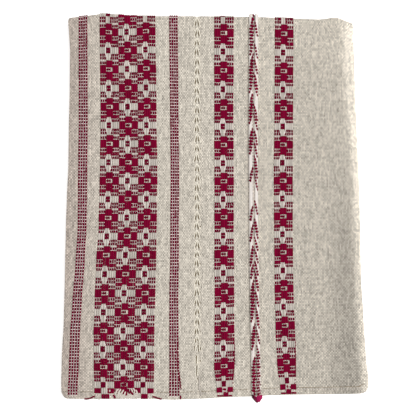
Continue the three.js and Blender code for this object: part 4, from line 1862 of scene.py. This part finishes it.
class RebozoLook(PropertyGroup):
    cream: FloatVectorProperty(
        name="Cream", description="Colour of the cotton ground", subtype="COLOR",
        default=(0.58, 0.53, 0.455), min=0, max=1)
    # Painted shade: the pinker grey of the ground where its left fold turns away from the light
    cream_in_left_shade: FloatVectorProperty(
        name="Cream at the left", description="Colour of the cotton ground toward its left fold",
        subtype="COLOR", default=(0.57, 0.49, 0.425), min=0, max=1)
    magenta: FloatVectorProperty(
        name="Magenta", description="Colour of the brocade yarn", subtype="COLOR",
        default=(0.17, 0.0, 0.021), min=0, max=1)
    pale_yarn: FloatVectorProperty(
        name="Pale yarn", description="Colour of the cream pattern yarns", subtype="COLOR",
        default=(0.6, 0.545, 0.488), min=0, max=1)
    # Painted light: the check stripes' cream yarns are paler than the others, lightened against the shade
    # between the dots
    bright_yarn: FloatVectorProperty(
        name="Bright yarn", description="Colour of the cream yarns in the check stripes", subtype="COLOR",
        default=(0.98, 0.81, 0.79), min=0, max=1)
    white_yarn: FloatVectorProperty(
        name="White yarn", description="Colour of the smooth yarns of the seam", subtype="COLOR",
        default=(0.88, 0.82, 0.77), min=0, max=1)
    openwork_yarn: FloatVectorProperty(
        name="Openwork yarn", description="Colour of the strands between the openwork's slots",
        subtype="COLOR", default=(0.84, 0.79, 0.68), min=0, max=1)
    tuft: FloatVectorProperty(
        name="Tuft", description="Colour of the cut ends at the hem", subtype="COLOR",
        default=(0.27, 0.004, 0.06), min=0, max=1)
    # Painted shadow: the colour of the dark yarns put in the openwork's slots and among the hem's yarns
    slot_painted_shadow: FloatVectorProperty(
        name="Openwork shadow", description="Colour deep in the openwork", subtype="COLOR",
        default=(0.23, 0.185, 0.125), min=0, max=1)
    # Scales both the yarns' own uneven tone and the painted shade between them
    weave_tone_and_shade: FloatProperty(
        name="Weave contrast", description="How much the yarns of the ground differ in shade",
        default=1.062, min=0, max=1.5, subtype="FACTOR")
    # Painted shade toward the long folds
    fold_painted_shade: FloatProperty(
        name="Fold greying", description="How much greyer the cloth is toward its long folds",
        default=0.22, min=0, max=1, subtype="FACTOR")
    # Painted highlight along the right fold
    rim_painted_highlight: FloatProperty(
        name="Rim paling", description="How much paler the cloth is at its right fold", default=0.88,
        min=0, max=1, subtype="FACTOR")
    weave_depth: FloatProperty(
        name="Weave depth", description="Height of the ground weave's relief in millimetres",
        default=0.16, min=0)
    float_width: FloatProperty(
        name="Float width", description="Width of a float as a share of the pitch of its ends",
        default=0.98, min=0.3, max=1.3, subtype="FACTOR")
    grid_height: FloatProperty(
        name="Grid height", description="How high the white yarns between the dots ride, in millimetres",
        default=0.27)


class RebozoStage(PropertyGroup):
    lens: FloatProperty(name="Lens", description="Focal length of the camera", default=100, unit="CAMERA")
    key_power: FloatProperty(name="Key light", description="Power of the light at the right", default=35.8)
    fill_power: FloatProperty(name="Fill light", description="Strength of the light all round", default=0.42)


# Operators

class REBOZO_OT_stage(Operator):
    """Camera straight above, a plain pale floor and soft studio light from the right"""

    bl_idname = "rebozo.stage"
    bl_label = "Stage"

    def execute(self, context):
        stage = context.scene.rebozo_stage
        add_camera(stage)
        add_floor()
        add_lights(stage)
        return {"FINISHED"}


PHOTO_WIDTH = 416  # millimetres that the view takes in at the height of the face
VIEW_MIDDLE = (-6.9, 0)  # raw place of the middle of the view


SENSOR_WIDTH = 36
FLOOR_HALF = 6.0  # metres from the middle of the floor to its sides
KEY_LIGHT_PLACE = (0.75, 0.2, 2.1)
KEY_LIGHT_SIZE = 1.2


def add_camera(stage):
    data = bpy.data.cameras.new("camera")
    data.lens = stage.lens
    data.sensor_width = SENSOR_WIDTH
    camera = link(bpy.data.objects.new("camera", data))
    middle = world(np.array([*VIEW_MIDDLE, PILE_HEIGHT]))
    distance = PHOTO_WIDTH * MM * data.lens / data.sensor_width
    camera.location = (middle[0], middle[1], middle[2] + distance)
    data.clip_start = 0.05
    data.clip_end = 20
    bpy.context.scene.camera = camera
    bpy.context.scene.view_settings.view_transform = "Standard"


def add_floor():
    mesh = bpy.data.meshes.new("floor")
    corners = [(x * FLOOR_HALF, y * FLOOR_HALF, 0) for x, y in ((-1, -1), (1, -1), (1, 1), (-1, 1))]
    mesh.from_pydata(corners, [], [(0, 1, 2, 3)])
    floor = link(bpy.data.objects.new("floor", mesh))
    material, _, shader = new_material("pale_floor")
    shader.inputs["Base Color"].default_value = (0.95, 0.95, 0.95, 1)
    shader.inputs["Emission Color"].default_value = (1, 1, 1, 1)
    shader.inputs["Emission Strength"].default_value = 0.6
    shader.inputs["Roughness"].default_value = 0.9
    mesh.materials.append(material)


def add_area_light(name, place, size, power):
    data = bpy.data.lights.new(name, "AREA")
    data.shape = "DISK"
    data.size = size
    data.energy = power
    light = link(bpy.data.objects.new(name, data))
    light.location = place
    light.rotation_mode = "QUATERNION"
    light.rotation_quaternion = Vector(place).to_track_quat("Z", "Y")


def add_lights(stage):
    add_area_light("key_light", KEY_LIGHT_PLACE, KEY_LIGHT_SIZE, stage.key_power)
    light = bpy.data.worlds.new("soft_light")
    light.use_nodes = True
    background = light.node_tree.nodes["Background"]
    background.inputs["Color"].default_value = (1, 1, 1, 1)
    background.inputs["Strength"].default_value = stage.fill_power
    bpy.context.scene.world = light


class REBOZO_OT_cloth(Operator):
    """The folded cream cloth, one sheet in six doubled runs"""

    bl_idname = "rebozo.cloth"
    bl_label = "Folded cloth"

    def execute(self, context):
        look = context.scene.rebozo_look
        mesh = cloth_mesh()
        cloth = link(bpy.data.objects.new("rebozo", mesh))
        mesh.materials.append(cloth_material(look))
        declare(cloth)
        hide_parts(CLOTH_NODE)
        return {"FINISHED"}


class REBOZO_OT_brocade(Operator):
    """The magenta and cream floats of the three brocade stripes"""

    bl_idname = "rebozo.brocade"
    bl_label = "Brocade stripes"

    def execute(self, context):
        look = context.scene.rebozo_look
        magenta, cream, white = weave_stripes(("brocade_1", "brocade_2", "brocade_3"), look)
        pieces = (
            magenta.make("brocade_magenta", yarn_material("magenta_yarn", look.magenta, 0.6)),
            cream.make("brocade_cream", yarn_material("pale_yarn", look.pale_yarn, 0.5)),
            white.make("brocade_white", yarn_material("white_yarn", look.white_yarn, 0.25), flatness=0.7),
        )
        declare_all(pieces)
        return {"FINISHED"}


class REBOZO_OT_checks(Operator):
    """The magenta dots of the two check stripes"""

    bl_idname = "rebozo.checks"
    bl_label = "Check stripes"

    def execute(self, context):
        look = context.scene.rebozo_look
        magenta, cream, white = weave_stripes(("check_1", "check_2"), look)
        pieces = (
            magenta.make("check_magenta", bpy.data.materials["magenta_yarn"]),
            cream.make("check_cream", yarn_material("bright_yarn", look.bright_yarn, 0.4)),
            white.make("check_white", bpy.data.materials["white_yarn"], flatness=0.7),
        )
        declare_all(pieces)
        return {"FINISHED"}


class REBOZO_OT_seam(Operator):
    """The raised seam: two rolled edges crossed by magenta ends, with a tuft at the hem"""

    bl_idname = "rebozo.seam"
    bl_label = "Raised seam"

    def execute(self, context):
        look = context.scene.rebozo_look
        mesh = seam_mesh()
        body = link(bpy.data.objects.new("raised_seam", mesh))
        mesh.materials.append(seam_material(look))
        declare(body)
        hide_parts(*SEAM_NODES)
        cream, magenta, rng = seam_yarns()
        cross_lobes(magenta, rng)
        cross_folds(magenta, rng)
        ends = YarnLines()
        tuft(ends, rng)
        pale = cream.make("seam_cream_yarns", yarn_material("seam_pale_yarn", look.white_yarn, 0.2))
        red = magenta.make("seam_magenta_floats", bpy.data.materials["magenta_yarn"])
        bunch = ends.make("seam_tuft", yarn_material("tuft_yarn", look.tuft, 1.5, sheen=0.12), flatness=0.8)
        declare_all((pale, red, bunch))
        return {"FINISHED"}


class REBOZO_OT_openwork(Operator):
    """The column of openwork, dark slots of painted shadow parted by cream strands"""

    bl_idname = "rebozo.openwork"
    bl_label = "Openwork"

    def execute(self, context):
        look = context.scene.rebozo_look
        dark, cream = openwork_lines()
        slots = dark.make("openwork_slot_shadows", yarn_material("slot_shadow", look.slot_painted_shadow, 0.3), flatness=0.2)
        yarn = yarn_material("openwork_pale_yarn", look.openwork_yarn, 0.25)
        strands = cream.make("openwork_strands", yarn, flatness=0.7)
        declare_all((slots, strands))
        return {"FINISHED"}


class REBOZO_OT_hem(Operator):
    """The hem's stitches, its overcast middle, its loose ends and their painted shadows"""

    bl_idname = "rebozo.hem"
    bl_label = "Hem"

    def execute(self, context):
        cream, magenta, dark = hem_lines()
        pieces = (
            cream.make("hem_cream_yarns", bpy.data.materials["pale_yarn"], flatness=0.8),
            magenta.make("hem_magenta_yarns", bpy.data.materials["magenta_yarn"], flatness=0.8),
            # Painted shadows: the stitch holes, the line above them and the overcast's shadows
            dark.make("hem_painted_shadows", bpy.data.materials["slot_shadow"], flatness=0.3),
        )
        declare_all(pieces)
        return {"FINISHED"}


class REBOZO_PT_panel(Panel):
    """The rebozo's settings and its pieces"""

    bl_label = "Rebozo"
    bl_idname = "REBOZO_PT_panel"
    bl_space_type = "VIEW_3D"
    bl_region_type = "UI"
    bl_category = "Rebozo"

    def draw(self, context):
        column = self.layout.column()
        for operator in PIECE_OPERATORS:
            column.operator(operator.bl_idname)
        for group in (context.scene.rebozo_look, context.scene.rebozo_stage):
            for name in group.bl_rna.properties.keys():
                if name not in {"rna_type", "name"}:
                    column.prop(group, name)


PIECE_OPERATORS = (
    REBOZO_OT_stage, REBOZO_OT_cloth, REBOZO_OT_brocade, REBOZO_OT_checks,
    REBOZO_OT_seam, REBOZO_OT_openwork, REBOZO_OT_hem,
)
CLASSES = (RebozoLook, RebozoStage, *PIECE_OPERATORS, REBOZO_PT_panel)


def register():
    for each in CLASSES:
        bpy.utils.register_class(each)
    bpy.types.Scene.rebozo_look = PointerProperty(type=RebozoLook)
    bpy.types.Scene.rebozo_stage = PointerProperty(type=RebozoStage)


def unregister():
    del bpy.types.Scene.rebozo_stage
    del bpy.types.Scene.rebozo_look
    for each in reversed(CLASSES):
        bpy.utils.unregister_class(each)


def main():
    register()
    bpy.ops.rebozo.stage()
    bpy.ops.rebozo.cloth()
    bpy.ops.rebozo.brocade()
    bpy.ops.rebozo.checks()
    bpy.ops.rebozo.seam()
    bpy.ops.rebozo.openwork()
    bpy.ops.rebozo.hem()


if __name__ == "__main__":
    main()
